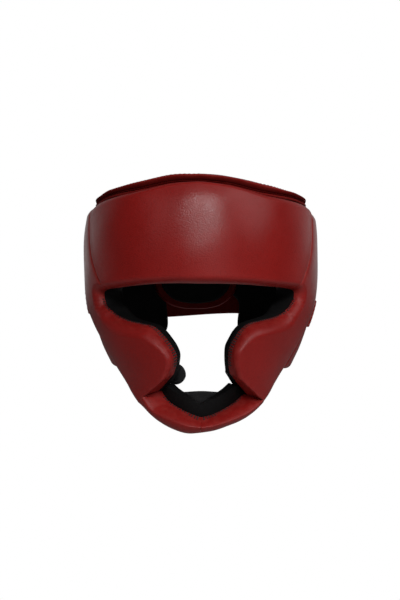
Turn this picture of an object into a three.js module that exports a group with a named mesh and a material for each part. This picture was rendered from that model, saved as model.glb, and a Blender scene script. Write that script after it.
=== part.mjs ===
// Sparring headgear of padded red leather with a black lining: brow, cheek, ear and chin pads round a
// T-shaped face opening, a padded crown, a tongue and a closing strap at the back, and a chin strap.
// Millimetres and degrees. +Z is up, the face looks along -Y, and +X is the viewer's right. The origin
// is the inside of the crown, where the head's top sits. An angle is measured in plan from the face,
// 0 at the front and 90 at the viewer's right, and a depth goes inwards from the pads' outer skin.
import * as THREE from "three";

// Outer skin of the pads: one rounded section for each height, with its half width, its reach to the
// front and to the rear, and how square it is (2 is an ellipse).
const SKIN_SECTIONS = [
  { z: 10, half_width: 97, front: 103, rear: 104, square: 2.2 },
  { z: -4, half_width: 104, front: 113, rear: 110, square: 2.2 },
  { z: -24, half_width: 109.5, front: 121, rear: 115, square: 2.2 },
  { z: -60, half_width: 114.5, front: 127, rear: 119, square: 2.2 },
  { z: -98, half_width: 114.3, front: 129, rear: 119, square: 2.2 },
  { z: -130, half_width: 111, front: 128.5, rear: 115, square: 2.15 },
  { z: -160, half_width: 102.3, front: 127, rear: 106, square: 2.1 },
  { z: -190, half_width: 89, front: 125.5, rear: 95, square: 2.05 },
  { z: -212, half_width: 83, front: 124, rear: 84, square: 2 },
  { z: -240, half_width: 76, front: 119, rear: 68, square: 2 },
];

const GAP = 0.3;               // clearance between neighbouring pieces
const SEAM_DEG = 0.2;          // clearance at a seam that runs up a pad's edge
const FOOT_GAP = 0.6;          // clearance between a cheek pad's foot and the chin bar
const RIM_GAP = 1.0;           // clearance between the crown's rim and the pads' top edge

const PAD_THICK = 18;          // red brow and cheek pads
const LINING_THICK = 11.7;     // padded black lining behind them
const EAR_DEPTH = 2;           // the ear pads lie this far inside the skin
const EAR_THICK = 11.5;
const EAR_LINING_THICK = 7.2;
const CHIN_DEPTH = 6;          // the chin bar is set back under the cheek pads
const CHIN_THICK = 16;
const CHIN_LINING_THICK = 11;

const EDGE_ROUND = 9;          // roll of a free pad edge
const SEAM_ROUND = 4;          // roll of an edge sewn to its neighbour
const REAR_ROUND = 7;          // roll of a cheek pad's rear edge
const LINING_ROUND = 4;        // roll of a lining's inner edge
const CHIN_END_ROUND = 1;      // the chin bar's halves are cut off square

const SEAM_TOP_DEG = 68;       // seam between the brow and the cheek pads, from the top edge
const SEAM_FOOT_DEG = 46.8;    // down to the corner of the eye slot
const SEAM_FOOT_Z = -104.8;
const SEAM_BULGE = 3.2;        // how far it bulges outwards on the way

const CROWN_LAYER_THICK = 2;
const CROWN_LAYER_ROUND = 0.6;
const CROWN_PANEL_THICK = 4.4;
const CROWN_PANEL_ROUND = 2.5;
const CROWN_REACH = 100;       // about the crown's half width
const CROWN_DOME = 2.1;        // how full the crown's arch is

const TONGUE_MID_DEG = 183.5;  // the tongue sits a little to the viewer's left
const TONGUE_DEPTH = 22;
const TONGUE_THICK = 6;
const TONGUE_LINING_THICK = 2.6;
const TONGUE_LINING_GAP = 0.7;
const TONGUE_BORDER_DEG = 3.6; // red border left round the tongue's lining
const TONGUE_BORDER = 5.8;

const STRAP_HEIGHT = 27;       // rear closing strap
const STRAP_THICK = 4;
const STRAP_DEPTH = 1.4;       // depth of its inner face in the skin
const STRAP_END_DEG = 93.5;
const CHIN_STRAP_HEIGHT = 26;
const CHIN_STRAP_THICK = 2.5;
const CHIN_TAB_HEIGHT = 20.5;
const CHIN_TAB_TIP = 0.12;     // blunt tip of the tab's round end, as a share of its height

// How finely each kind of piece is divided.
const BROW_GRID = { along: 20, across: 7 };
const CHEEK_GRID = { along: 38, across: 6 };
const EAR_GRID = { along: 15, across: 6 };
const CHIN_GRID = { along: 12, across: 5 };
const CHIN_LINING_GRID = { along: 14, across: 5 };
const TONGUE_GRID = { along: 10, across: 6 };
const CROWN_GRID = { around: 36, rings: 5 };
const REAR_STRAP_STEPS = 36;
const CHIN_STRAP_STEPS = 26;
const EDGE_CROWD = 0.75;       // how much a pad's grid crowds towards its edges
const RING_CROWD = 1.25;       // how much the crown's rings crowd towards its rim
const SLOPE_STEP = 0.5;        // step over which the skin's slope is measured
const ROUTE_STEP = 0.01;       // share of a strap's route over which its direction is measured

// Top edge of the pads round the head, and how far inside the skin the crown's rim lies over it.
const PAD_TOP = [
  { deg: 0, z: -2, inset: 11 },
  { deg: 14.3, z: -4.8, inset: 10.6 },
  { deg: 29.2, z: -14.5, inset: 9.6 },
  { deg: 41.4, z: -19, inset: 8.8 },
  { deg: 54.4, z: -23, inset: 8.2 },
  { deg: SEAM_TOP_DEG, z: -25, inset: 8 },
  { deg: 94, z: -25.5, inset: 8 },
  { deg: 130, z: -26, inset: 11 },
  { deg: 180, z: -26, inset: 14 },
];

// Each pad is a strip between edge a and edge b, one row for each section along it. A round is the
// roll of that edge, a bow pushes the middle of the row up, a bulge pushes it round, and a corner row
// breaks the curve. The brow pad runs from its top edge down to the eye slot, here from the middle to
// the viewer's right.
const BROW_ROWS = [
  { a_deg: 0, b_deg: 0, b_z: -98, bulge: 0 },
  { a_deg: 14.3, b_deg: 11.5, b_z: -98.1, bulge: 0 },
  { a_deg: 29.2, b_deg: 23, b_z: -99.5, bulge: 0.5 },
  { a_deg: 41.4, b_deg: 32.5, b_z: -101.6, bulge: 1.2 },
  { a_deg: 54.4, b_deg: 40.4, b_z: -103.3, bulge: 2.2 },
  { a_deg: SEAM_TOP_DEG, b_deg: SEAM_FOOT_DEG, b_z: SEAM_FOOT_Z, bulge: SEAM_BULGE },
].map((row) => ({ ...row, a_z: padTop(row.a_deg) }));
// The cheek pad goes down that seam, round the end of the eye slot and along the slot to its tip.
const CHEEK_ROWS = [
  { ...onSeam(0), b_deg: 94, b_z: padTop(94) },
  { ...onSeam(0.25), b_deg: 94, b_z: -46 },
  { ...onSeam(0.5), b_deg: 93.5, b_z: -68 },
  { ...onSeam(0.75), b_deg: 93, b_z: -86 },
  { ...onSeam(1), b_deg: 92.3, b_z: -99, corner: 1 },
  { a_deg: 51.4, a_z: -106, a_round: EDGE_ROUND, b_deg: 91, b_z: -106 },
  { a_deg: 55, a_z: -109.6, a_round: EDGE_ROUND, b_deg: 89, b_z: -112 },
  { a_deg: 56.2, a_z: -115.6, a_round: EDGE_ROUND, b_deg: 86, b_z: -118.5 },
  { a_deg: 55, a_z: -121.6, a_round: EDGE_ROUND, b_deg: 82.5, b_z: -126 },
  { a_deg: 51, a_z: -127, a_round: EDGE_ROUND, b_deg: 77.5, b_z: -134.5 },
  { a_deg: 46, a_z: -131.5, a_round: EDGE_ROUND, b_deg: 71.8, b_z: -142.5 },
  { a_deg: 40, a_z: -134.5, a_round: EDGE_ROUND, b_deg: 66.6, b_z: -150.5 },
  { a_deg: 31, a_z: -137, a_round: EDGE_ROUND, b_deg: 62.4, b_z: -158 },
  { a_deg: 24, a_z: -139.5, a_round: EDGE_ROUND, b_deg: 58.8, b_z: -166 },
  { a_deg: 20, a_z: -144.5, a_round: EDGE_ROUND, b_deg: 55.6, b_z: -174.5 },
  { a_deg: 17.8, a_z: -151, a_round: EDGE_ROUND, b_deg: 52.2, b_z: -183 },
  { a_deg: 16, a_z: -158, a_round: EDGE_ROUND, b_deg: 48.2, b_z: -190.5 },
  { a_deg: 14.7, a_z: -165.5, a_round: EDGE_ROUND, b_deg: 44, b_z: -198 },
  { a_deg: 14.5, a_z: -174, a_round: EDGE_ROUND, b_deg: 39.8, b_z: -204.5 },
  { a_deg: 16.5, a_z: -183.5, a_round: EDGE_ROUND, b_deg: 35.6, b_z: -211, bow: -2 },
];
// Rear edge of the ear pads, one row for each of the first cheek rows, whose rear edge they follow.
const EAR_ROWS = [
  { b_deg: 157.5, b_z: -26 },
  { b_deg: 157.5, b_z: -42 },
  { b_deg: 157.5, b_z: -58 },
  { b_deg: 157.5, b_z: -72 },
  { b_deg: 157.5, b_z: -83 },
  { b_deg: 157.5, b_z: -90 },
  { b_deg: 157.5, b_z: -97 },
  { b_deg: 157.5, b_z: -104 },
  { b_deg: 157.5, b_z: -112 },
  { b_deg: 157.5, b_z: -120 },
  { b_deg: 157.5, b_z: -128 },
  { b_deg: 157.5, b_z: -136 },
  { b_deg: 157.5, b_z: -144 },
  { b_deg: 157.3, b_z: -152 },
  { b_deg: 156, b_z: -160, bow: -4 },
  { b_deg: 152, b_z: -168, bow: -11 },
].map((row, k) => {
  const cheek = CHEEK_ROWS[k];
  return { ...row, a_deg: cheek.b_deg + SEAM_DEG, a_z: cheek.b_z, corner: cheek.corner };
});
// The chin bar comes out from beneath the cheek pad's foot and goes down to the middle seam.
const CHIN_ROWS = [
  { a_deg: SEAM_DEG / 2, a_z: -225.2, b_deg: SEAM_DEG / 2, b_z: -236.8 },
  { a_deg: 7.3, a_z: -222.6, b_deg: 8, b_z: -236 },
  { a_deg: 14.5, a_z: -218.6, b_deg: 15.5, b_z: -233.6 },
  { a_deg: 23.2, a_z: -212.6, b_deg: 22.5, b_z: -229.2 },
  { a_deg: 30, a_z: underFoot(30), b_deg: 28.7, b_z: -223, corner: 1 },
  { a_deg: 32.4, a_z: underFoot(32.4), b_deg: 32.3, b_z: -218 },
  { a_deg: 34.5, a_z: underFoot(34.5), b_deg: 35.2, b_z: -213.6 },
];
const CHIN_LINING_ROWS = [
  { a_deg: SEAM_DEG, a_z: -212, b_deg: SEAM_DEG, b_z: -233.5 },
  { a_deg: 7.5, a_z: -208, b_deg: 8, b_z: -233 },
  { a_deg: 14.5, a_z: -203, b_deg: 15.5, b_z: -230 },
  { a_deg: 23, a_z: underFoot(23), b_deg: 23.5, b_z: -224.5, corner: 1 },
  { a_deg: 26.5, a_z: underFoot(26.5), b_deg: 27.4, b_z: -221.4 },
  { a_deg: 30, a_z: underFoot(30), b_deg: 31, b_z: -217.2 },
  { a_deg: 34, a_z: underFoot(34), b_deg: 35, b_z: -213 },
];
// Half width of the tongue, in degrees, down to its rounded end.
const TONGUE_ROWS = [
  { z: -19.3, half_deg: 25.5 },
  { z: -52, half_deg: 26.2 },
  { z: -85, half_deg: 27.4 },
  { z: -111, half_deg: 27.2 },
  { z: -125.5, half_deg: 23.4 },
  { z: -135.5, half_deg: 16.4 },
  { z: -140, half_deg: 7.2 },
];
// Height of the rear strap's middle as it goes round.
const STRAP_ROUTE = [
  { deg: STRAP_END_DEG, z: -133 },
  { deg: 130, z: -129 },
  { deg: 160, z: -125.5 },
  { deg: 200, z: -129.5 },
  { deg: 230, z: -127 },
  { deg: 360 - STRAP_END_DEG, z: -123 },
];
// Chin strap from ear to ear, and the tab with a free end that it is pressed on to from inside: plan
// angle, distance from the vertical axis and height of the middle line, and how far the face leans down.
const CHIN_STRAP_ROUTE = [
  { deg: 98, reach: 72.8, z: -168, lean: 24 },
  { deg: 80, reach: 72, z: -170, lean: 24 },
  { deg: 58, reach: 63, z: -187, lean: 18 },
  { deg: 30, reach: 60, z: -211, lean: 8 },
  { deg: 0, reach: 60, z: -215.2, lean: 5 },
  { deg: -30, reach: 60, z: -211.5, lean: 8 },
  { deg: -56, reach: 55, z: -193, lean: 16 },
  { deg: -80, reach: 65.2, z: -172.5, lean: 24 },
  { deg: -98, reach: 69.6, z: -168, lean: 24 },
];
const CHIN_TAB_ROUTE = [
  { deg: -98, reach: 73.2, z: -167, lean: 24 },
  { deg: -80, reach: 72.8, z: -168.5, lean: 24 },
  { deg: -57, reach: 66.5, z: -174, lean: 15 },
  { deg: -33, reach: 73, z: -181, lean: 6 },
  { deg: -11, reach: 75.5, z: -186.6, lean: 3 },
];

// Height of the pads' top edge, a point down the seam, and the height just under a cheek pad's foot.
function padTop(deg) {
  return rowWhere(PAD_TOP, "deg", deg).z;
}
function onSeam(share) {
  const deg = mix(SEAM_TOP_DEG, SEAM_FOOT_DEG, share) + SEAM_BULGE * hump(share);
  return { a_deg: deg + SEAM_DEG, a_z: mix(padTop(SEAM_TOP_DEG), SEAM_FOOT_Z, share), a_round: SEAM_ROUND };
}
function underFoot(deg) {
  const foot = CHEEK_ROWS.at(-1);
  const share = (deg - foot.a_deg) / (foot.b_deg - foot.a_deg);
  return mix(foot.a_z, foot.b_z, share) + foot.bow * hump(share) - FOOT_GAP;
}

// Plain helpers.
function radians(deg) {
  return (deg * Math.PI) / 180;
}
function mix(from, to, share) {
  return from + (to - from) * share;
}
function hump(share) {
  return 4 * share * (1 - share);
}

// A row of a table between its rows: place 1.5 is midway from row 1 to row 2, on a smooth curve.
function rowAt(table, place) {
  const last = table.length - 1;
  const index = Math.min(Math.floor(place), last - 1);
  const t = place - index;
  const [from, to] = [table[index], table[index + 1]];
  const before = index === 0 || from.corner ? null : table[index - 1];
  const after = index + 1 === last || to.corner ? null : table[index + 2];
  const row = {};
  for (const key of Object.keys({ ...from, ...to })) {
    const value = (item) => item[key] ?? 0;
    const step = value(to) - value(from);
    const leave = before ? (value(to) - value(before)) / 2 : step;
    const arrive = after ? (value(after) - value(from)) / 2 : step;
    row[key] = value(from) + t * leave + t * t * (3 * step - 2 * leave - arrive)
      + t * t * t * (leave + arrive - 2 * step);
  }
  return row;
}

// A row of a table found by the value in one column, with slopes that follow uneven spacing.
function rowWhere(table, column, wanted) {
  const order = Math.sign(table[1][column] - table[0][column]);
  let index = 0;
  while (index < table.length - 2 && (wanted - table[index + 1][column]) * order > 0) index += 1;
  const [from, to] = [table[index], table[index + 1]];
  const span = to[column] - from[column];
  const t = (wanted - from[column]) / span;
  const row = {};
  for (const key of Object.keys(from)) {
    const slope = (at) => {
      const [low, high] = [table[Math.max(at - 1, 0)], table[Math.min(at + 1, table.length - 1)]];
      return ((high[key] - low[key]) / (high[column] - low[column])) * span;
    };
    const step = to[key] - from[key];
    const [leave, arrive] = [slope(index), slope(index + 1)];
    row[key] = from[key] + t * leave + t * t * (3 * step - 2 * leave - arrive)
      + t * t * t * (leave + arrive - 2 * step);
  }
  return row;
}

// The pads' outer skin, and a point at a depth inside it.
function skin(deg, z) {
  const section = rowWhere(SKIN_SECTIONS, "z", z);
  const [across, ahead] = [Math.sin(radians(deg)), Math.cos(radians(deg))];
  const reach = ahead > 0 ? section.front : section.rear;
  const power = section.square;
  const sum = Math.abs(across / section.half_width) ** power + Math.abs(ahead / reach) ** power;
  const radius = sum ** (-1 / power);
  return new THREE.Vector3(radius * across, -radius * ahead, z);
}
function inside(deg, z, depth) {
  const round = skin(deg + SLOPE_STEP, z).sub(skin(deg - SLOPE_STEP, z));
  const up = skin(deg, z + SLOPE_STEP).sub(skin(deg, z - SLOPE_STEP));
  return skin(deg, z).addScaledVector(round.cross(up).normalize(), -depth);
}

// A mesh geometry from points and faces of three or four corners, turned so that its faces point out.
function solid(points, corners) {
  const faces = corners.flatMap(([a, b, c, d]) => (d === undefined ? [[a, b, c]] : [[a, b, c], [a, c, d]]));
  const volume = faces.reduce(
    (sum, [a, b, c]) => sum + points[a].dot(points[b].clone().cross(points[c])), 0);
  const index = faces.flatMap(([a, b, c]) => (volume > 0 ? [a, b, c] : [a, c, b]));
  const geometry = new THREE.BufferGeometry();
  const numbers = points.flatMap((point) => point.toArray());
  geometry.setAttribute("position", new THREE.Float32BufferAttribute(numbers, 3));
  geometry.setIndex(index);
  geometry.computeVertexNormals();
  return geometry;
}

// A closed slab from two grids of points of the same size, its outer and inner face.
function slab(outer, inner) {
  const [last, end] = [outer.length - 1, outer[0].length - 1];
  const across = end + 1;
  const half = outer.length * across;
  const top = (i, j) => i * across + j;
  const bottom = (i, j) => half + i * across + j;
  const quads = [];
  for (let i = 0; i < last; i += 1) {
    for (let j = 0; j < end; j += 1) {
      quads.push([top(i, j), top(i + 1, j), top(i + 1, j + 1), top(i, j + 1)]);
      quads.push([bottom(i, j), bottom(i, j + 1), bottom(i + 1, j + 1), bottom(i + 1, j)]);
    }
    quads.push([top(i, 0), bottom(i, 0), bottom(i + 1, 0), top(i + 1, 0)]);
    quads.push([top(i, end), top(i + 1, end), bottom(i + 1, end), bottom(i, end)]);
  }
  for (let j = 0; j < end; j += 1) {
    quads.push([top(0, j), top(0, j + 1), bottom(0, j + 1), bottom(0, j)]);
    quads.push([top(last, j), bottom(last, j), bottom(last, j + 1), top(last, j + 1)]);
  }
  return solid([...outer.flat(), ...inner.flat()], quads);
}

// Steps from 0 to 1 that crowd a little towards both ends, where the edges are rolled.
const crowd = (share) => mix(share, (1 - Math.cos(Math.PI * share)) / 2, EDGE_CROWD);

// How far a rolled edge of this radius has dropped at a distance from the edge.
function roll(distance, radius) {
  if (distance >= radius) return 0;
  const left = 1 - distance / radius;
  return radius * (1 - Math.sqrt(1 - left * left));
}

// A pad: a strip on the skin between two depths, with its outer and inner edges rolled. A lining has
// a flat outside, because it lies against the pad in front of it.
function pad(rows, grid, spec) {
  const { side = 1, depth, thick, round = 0, b_round = round, ends = [round, round] } = spec;
  const { flat_outside = false, inner_round = 0 } = spec;
  const { along, across } = grid;
  const cells = [];
  for (let i = 0; i <= along; i += 1) {
    const row = rowAt(rows, (i / along) * (rows.length - 1));
    cells.push([]);
    for (let j = 0; j <= across; j += 1) {
      const share = crowd(j / across);
      const deg = mix(row.a_deg, row.b_deg, share) + (row.bulge ?? 0) * hump(share);
      const z = mix(row.a_z, row.b_z, share) + (row.bow ?? 0) * hump(share);
      cells[i].push({ deg, z, at: skin(deg, z), a_round: row.a_round ?? round });
    }
  }
  const rim = [];
  const hem = (from, to, radius) => rim.push({ line: new THREE.Line3(from.at, to.at), radius });
  for (let i = 0; i < along; i += 1) {
    const [from, to] = [cells[i], cells[i + 1]];
    hem(from[0], to[0], Math.min(from[0].a_round, to[0].a_round));
    hem(from[across], to[across], b_round);
  }
  for (let j = 0; j < across; j += 1) {
    hem(cells[0][j], cells[0][j + 1], ends[0]);
    hem(cells[along][j], cells[along][j + 1], ends[1]);
  }
  const nearest = new THREE.Vector3();
  const drop = (at, radiusOf) => Math.max(...rim.map(({ line, radius }) => {
    line.closestPointToPoint(at, true, nearest);
    return roll(nearest.distanceTo(at), radiusOf(radius));
  }));
  const outward = flat_outside ? () => 0 : (radius) => radius;
  const face = (depthOf) => cells.map((row) => row.map(
    (cell) => inside(side * cell.deg, cell.z, depthOf(cell.at))));
  const outer = face((at) => depth + drop(at, outward));
  const inner = face((at) => depth + thick - drop(at, () => inner_round));
  return slab(outer, inner);
}

// The brow rows of one half, mirrored into the whole width.
const bothHalves = (rows) => [
  ...rows.slice(1).reverse().map(
    (row) => ({ ...row, a_deg: -row.a_deg, b_deg: -row.b_deg, bulge: -row.bulge })),
  ...rows,
];

// The crown: a shallow dome over the pads' top edges, between two heights above its underside. A share
// goes from its rim, 0, to its middle, 1.
function crownPoint(deg, share, rise) {
  const { z, inset } = rowWhere(PAD_TOP, "deg", deg > 180 ? 360 - deg : deg);
  const rim = inside(deg, z, inset);
  const arch = 1 - (1 - share) ** CROWN_DOME;
  const height = mix(rim.z + RIM_GAP, 0, arch) + rise;
  return new THREE.Vector3(rim.x * (1 - share), rim.y * (1 - share), height);
}
function crown(low, high, edge) {
  const { around, rings } = CROWN_GRID;
  const shares = Array.from({ length: rings }, (_, k) => (k / rings) ** RING_CROWD);
  const ring = (share, rise) => Array.from(
    { length: around }, (_, k) => crownPoint((360 * k) / around, share, rise));
  const levels = [
    ...shares.map((share) => ring(share, low)).reverse(),
    ring(0, high - edge),
    ...shares.map((share, k) => ring(k === 0 ? edge / CROWN_REACH : share, high)),
  ];
  const points = [...levels.flat(), crownPoint(0, 1, low), crownPoint(0, 1, high)];
  const [under, over] = [points.length - 2, points.length - 1];
  const rim = rings * around;
  const last = (levels.length - 1) * around;
  const faces = [];
  for (let k = 0; k < around; k += 1) {
    const next = (k + 1) % around;
    for (let from = 0; from < last; from += around) {
      const to = from + around;
      const topside = [from + k, from + next, to + next, to + k];
      const underside = [from + next, to + next, to + k, from + k];
      faces.push(from < rim ? underside : topside);
    }
    faces.push([under, next, k]);
    faces.push([over, last + k, last + next]);
  }
  return solid(points, faces);
}

// The tongue and its lining: rows across the back, each from one side edge to the other.
function tongue(depth, thick, border_deg, border) {
  const rows = TONGUE_ROWS.map((row, k) => {
    const half = row.half_deg - Math.min(border_deg, row.half_deg / 2);
    const lift = border * (k / (TONGUE_ROWS.length - 1));
    const z = row.z + lift - (k === 0 ? border : 0);
    return { a_deg: TONGUE_MID_DEG - half, a_z: z, b_deg: TONGUE_MID_DEG + half, b_z: z };
  });
  return pad(rows, TONGUE_GRID, { depth, thick });
}

// The rear strap lies on the ear pads and crosses the gap between them.
function rearStrap() {
  const face = (depth) => Array.from({ length: REAR_STRAP_STEPS + 1 }, (_, i) => {
    const row = rowAt(STRAP_ROUTE, (i / REAR_STRAP_STEPS) * (STRAP_ROUTE.length - 1));
    return [-0.5, 0, 0.5].map((share) => inside(row.deg, row.z + share * STRAP_HEIGHT, depth));
  });
  return slab(face(STRAP_DEPTH - STRAP_THICK), face(STRAP_DEPTH));
}

// A flat chin strap along a route in plan, with its last end square or round.
function chinStrap(route, height, round_end) {
  const rowOf = (share) => rowAt(route, share * (route.length - 1));
  const point = (share) => {
    const { deg, reach, z } = rowOf(share);
    return new THREE.Vector3(reach * Math.sin(radians(deg)), -reach * Math.cos(radians(deg)), z);
  };
  const steps = Array.from({ length: CHIN_STRAP_STEPS + 1 }, (_, i) => i / CHIN_STRAP_STEPS);
  const length = new THREE.CatmullRomCurve3(steps.map(point)).getLength();
  const stations = steps.map((step) => {
    const share = round_end ? Math.sin((Math.PI / 2) * step) : step;
    const { deg, lean } = rowOf(share);
    const level = Math.cos(radians(lean));
    const [x, y] = [level * Math.sin(radians(deg)), -level * Math.cos(radians(deg))];
    const out = new THREE.Vector3(x, y, -Math.sin(radians(lean)));
    const ahead = point(Math.min(share + ROUTE_STEP, 1)).sub(point(Math.max(share - ROUTE_STEP, 0)));
    ahead.normalize();
    out.addScaledVector(ahead, -out.dot(ahead)).normalize();
    const up = new THREE.Vector3().crossVectors(out, ahead).normalize();
    const left = Math.min((length * (1 - share)) / (height / 2), 1);
    const full = round_end ? Math.max(Math.sqrt(1 - (1 - left) ** 2), CHIN_TAB_TIP) : 1;
    return { at: point(share), out, up: up.multiplyScalar((full * height) / 2) };
  });
  const face = (shift) => stations.map(({ at, out, up }) => [-1, 1].map(
    (sign) => at.clone().addScaledVector(up, sign).addScaledVector(out, shift)));
  return slab(face(CHIN_STRAP_THICK / 2), face(-CHIN_STRAP_THICK / 2));
}

// Materials.
const leather = new THREE.MeshStandardMaterial({ color: 0x7d1a17, roughness: 0.42, metalness: 0 });
const liningCloth = new THREE.MeshStandardMaterial({ color: 0x0e0e0f, roughness: 0.75, metalness: 0 });
const strapWeb = new THREE.MeshStandardMaterial({ color: 0x151517, roughness: 0.6, metalness: 0 });

// The assembly.
const headgear = new THREE.Group();
headgear.name = "headgear";
function add(name, geometry, material) {
  const mesh = new THREE.Mesh(geometry, material);
  mesh.name = name;
  headgear.add(mesh);
}

const brow = bothHalves(BROW_ROWS);
add("forehead_pad", pad(brow, BROW_GRID, {
  depth: 0, thick: PAD_THICK, round: EDGE_ROUND, ends: [SEAM_ROUND, SEAM_ROUND],
}), leather);
add("forehead_lining", pad(brow, BROW_GRID, {
  depth: PAD_THICK + GAP, thick: LINING_THICK, inner_round: LINING_ROUND,
}), liningCloth);

for (const [name, side] of [["left", -1], ["right", 1]]) {
  add(`cheek_pad_${name}`, pad(CHEEK_ROWS, CHEEK_GRID, {
    side, depth: 0, thick: PAD_THICK, b_round: REAR_ROUND, ends: [EDGE_ROUND, REAR_ROUND],
  }), leather);
  add(`cheek_lining_${name}`, pad(CHEEK_ROWS, CHEEK_GRID, {
    side, depth: PAD_THICK + GAP, thick: LINING_THICK, flat_outside: true, inner_round: LINING_ROUND,
  }), liningCloth);
  add(`ear_pad_${name}`, pad(EAR_ROWS, EAR_GRID, {
    side, depth: EAR_DEPTH, thick: EAR_THICK, round: SEAM_ROUND, ends: [EDGE_ROUND, EDGE_ROUND],
  }), leather);
  add(`ear_lining_${name}`, pad(EAR_ROWS, EAR_GRID, {
    side, depth: EAR_DEPTH + EAR_THICK + GAP, thick: EAR_LINING_THICK,
  }), liningCloth);
  add(`chin_pad_${name}`, pad(CHIN_ROWS, CHIN_GRID, {
    side, depth: CHIN_DEPTH, thick: CHIN_THICK, round: SEAM_ROUND, ends: [CHIN_END_ROUND, CHIN_END_ROUND],
  }), leather);
  add(`chin_lining_${name}`, pad(CHIN_LINING_ROWS, CHIN_LINING_GRID, {
    side, depth: CHIN_DEPTH + CHIN_THICK + GAP, thick: CHIN_LINING_THICK,
  }), liningCloth);
}

const panelLow = CROWN_LAYER_THICK + GAP;
const napeDepth = TONGUE_DEPTH + TONGUE_THICK + TONGUE_LINING_GAP;
add("crown_layer", crown(0, CROWN_LAYER_THICK, CROWN_LAYER_ROUND), leather);
add("crown_panel", crown(panelLow, panelLow + CROWN_PANEL_THICK, CROWN_PANEL_ROUND), leather);
add("nape_tongue", tongue(TONGUE_DEPTH, TONGUE_THICK, 0, 0), leather);
add("nape_lining", tongue(napeDepth, TONGUE_LINING_THICK, TONGUE_BORDER_DEG, TONGUE_BORDER), liningCloth);
add("rear_strap", rearStrap(), leather);
add("chin_strap", chinStrap(CHIN_STRAP_ROUTE, CHIN_STRAP_HEIGHT, false), strapWeb);
add("chin_strap_tab", chinStrap(CHIN_TAB_ROUTE, CHIN_TAB_HEIGHT, true), strapWeb);

export default headgear;
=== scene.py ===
"""Looks of a padded sparring headgear: sewn leather pads, lining, straps and stitching round its frame.

Laid out as a Blender add-on and run as a script. Shapes are worked out in millimetres and degrees, in the
frame's own axes: the face looks along -Y, +X is the viewer's right, +Z is up, and the origin is the inside
of the crown. An angle goes round in plan from the face, 0 at the front and 90 at the viewer's right, and a
depth goes inwards from the pads' outer skin.
"""
import math
from collections import namedtuple
from types import SimpleNamespace

import bpy
import numpy as np
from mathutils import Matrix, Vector
from mathutils.kdtree import KDTree


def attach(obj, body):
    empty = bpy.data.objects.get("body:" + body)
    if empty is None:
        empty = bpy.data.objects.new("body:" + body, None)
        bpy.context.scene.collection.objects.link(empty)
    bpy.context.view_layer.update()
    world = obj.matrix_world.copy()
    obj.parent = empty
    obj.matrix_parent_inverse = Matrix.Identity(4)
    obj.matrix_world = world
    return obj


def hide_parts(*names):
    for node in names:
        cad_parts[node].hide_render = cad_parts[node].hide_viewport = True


bl_info = {
    "name": "Padded headgear",
    "version": (1, 0, 0),
    "blender": (4, 5, 0),
    "location": "View3D > Sidebar > Headgear",
    "description": "Sews leather pads, lining, straps and stitching over a headgear's frame",
    "category": "Object",
}

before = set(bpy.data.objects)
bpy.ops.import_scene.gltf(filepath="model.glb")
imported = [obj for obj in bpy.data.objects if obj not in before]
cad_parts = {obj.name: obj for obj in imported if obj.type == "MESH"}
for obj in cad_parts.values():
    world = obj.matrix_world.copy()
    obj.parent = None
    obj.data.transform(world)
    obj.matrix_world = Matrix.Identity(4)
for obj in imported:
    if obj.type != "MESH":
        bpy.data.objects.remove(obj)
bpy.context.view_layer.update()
MM = 0.001


# Tables of the object's shape


def table(columns, *rows):
    """Named columns of numbers, one row for each section."""
    return dict(zip(columns.split(), np.array(rows, float).T))


SKIN_SECTIONS = table(
    "z half_width front rear square",
    (10, 97, 103, 104, 2.2),
    (-4, 104, 113, 110, 2.2),
    (-24, 110, 121, 115, 2.2),
    (-60, 115.2, 127, 119, 2.2),
    (-98, 115, 129, 119, 2.2),
    (-130, 111.6, 128.5, 115, 2.15),
    (-160, 102.3, 127, 106, 2.1),
    (-190, 89, 125.5, 95, 2.05),
    (-212, 83, 124, 84, 2),
    (-240, 76, 119, 68, 2),
)
SEAM_TOP_DEG = 68
SEAM_FOOT_DEG = 46.8
SEAM_FOOT_Z = -104.8
SEAM_BULGE = 3.2
SEAM_DEG = 0.2
FOOT_GAP = 0.3
FOOT_BOW = -2
SLOPE_STEP = 0.5

# Top edge of the pads round the head, and how far inside the skin the crown's rim lies over it.
PAD_TOP = table(
    "deg z inset",
    (0, -4.6, 11),
    (14.3, -7.2, 10.6),
    (29.2, -14.2, 9.6),
    (41.4, -17.6, 8.8),
    (54.4, -20.8, 8),
    (SEAM_TOP_DEG, -25, 7.2),
    (94, -26.2, 7),
    (130, -26, 11),
    (180, -26, 14),
)
TOP_SKEW = 1.7    # how much higher the top edge is at the viewer's left of the middle, and lower at the right
LOW_SKEW = 0.4    # the same of the brow's lower edge
# Half width of the tongue, in degrees, down to its rounded end.
TONGUE_ROWS = table(
    "z half_deg",
    (-19.3, 25.5),
    (-52, 26.2),
    (-85, 27.4),
    (-111, 27.2),
    (-125.5, 23.4),
    (-135.5, 16.4),
    (-140, 7.2),
)
# Height of the rear strap's middle as it goes round, and how far its upper edge stands off the pads.
STRAP_END_DEG = 93.5
STRAP_ROUTE = table(
    "deg z lift",
    (STRAP_END_DEG, -133, 1.2),
    (130, -129, 0),
    (160, -125.5, 0),
    (200, -129.5, 0),
    (230, -127, 0),
    (360 - STRAP_END_DEG, -119.6, 0),
)
# Chin strap and its free end: plan angle, distance from the vertical axis and height of the middle line,
# and how far the strap's face leans down.
CHIN_STRAP_ROUTE = table(
    "deg reach z lean",
    (98, 72.8, -168, 24),
    (80, 72, -170, 24),
    (58, 63, -187, 18),
    (30, 60, -214, 8),
    (0, 60, -215.2, 5),
    (-30, 60, -214.5, 8),
    (-56, 55, -193, 16),
    (-80, 65.2, -172.5, 24),
    (-98, 69.6, -168, 24),
)
CHIN_TAB_ROUTE = table(
    "deg reach z lean",
    (-98, 73.2, -167, 24),
    (-80, 72.8, -168.5, 24),
    (-57, 66.5, -174, 15),
    (-33, 73, -181, 6),
    (-11, 75.5, -186.6, 3),
)


# Curves through the tables, and the outer skin


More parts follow.
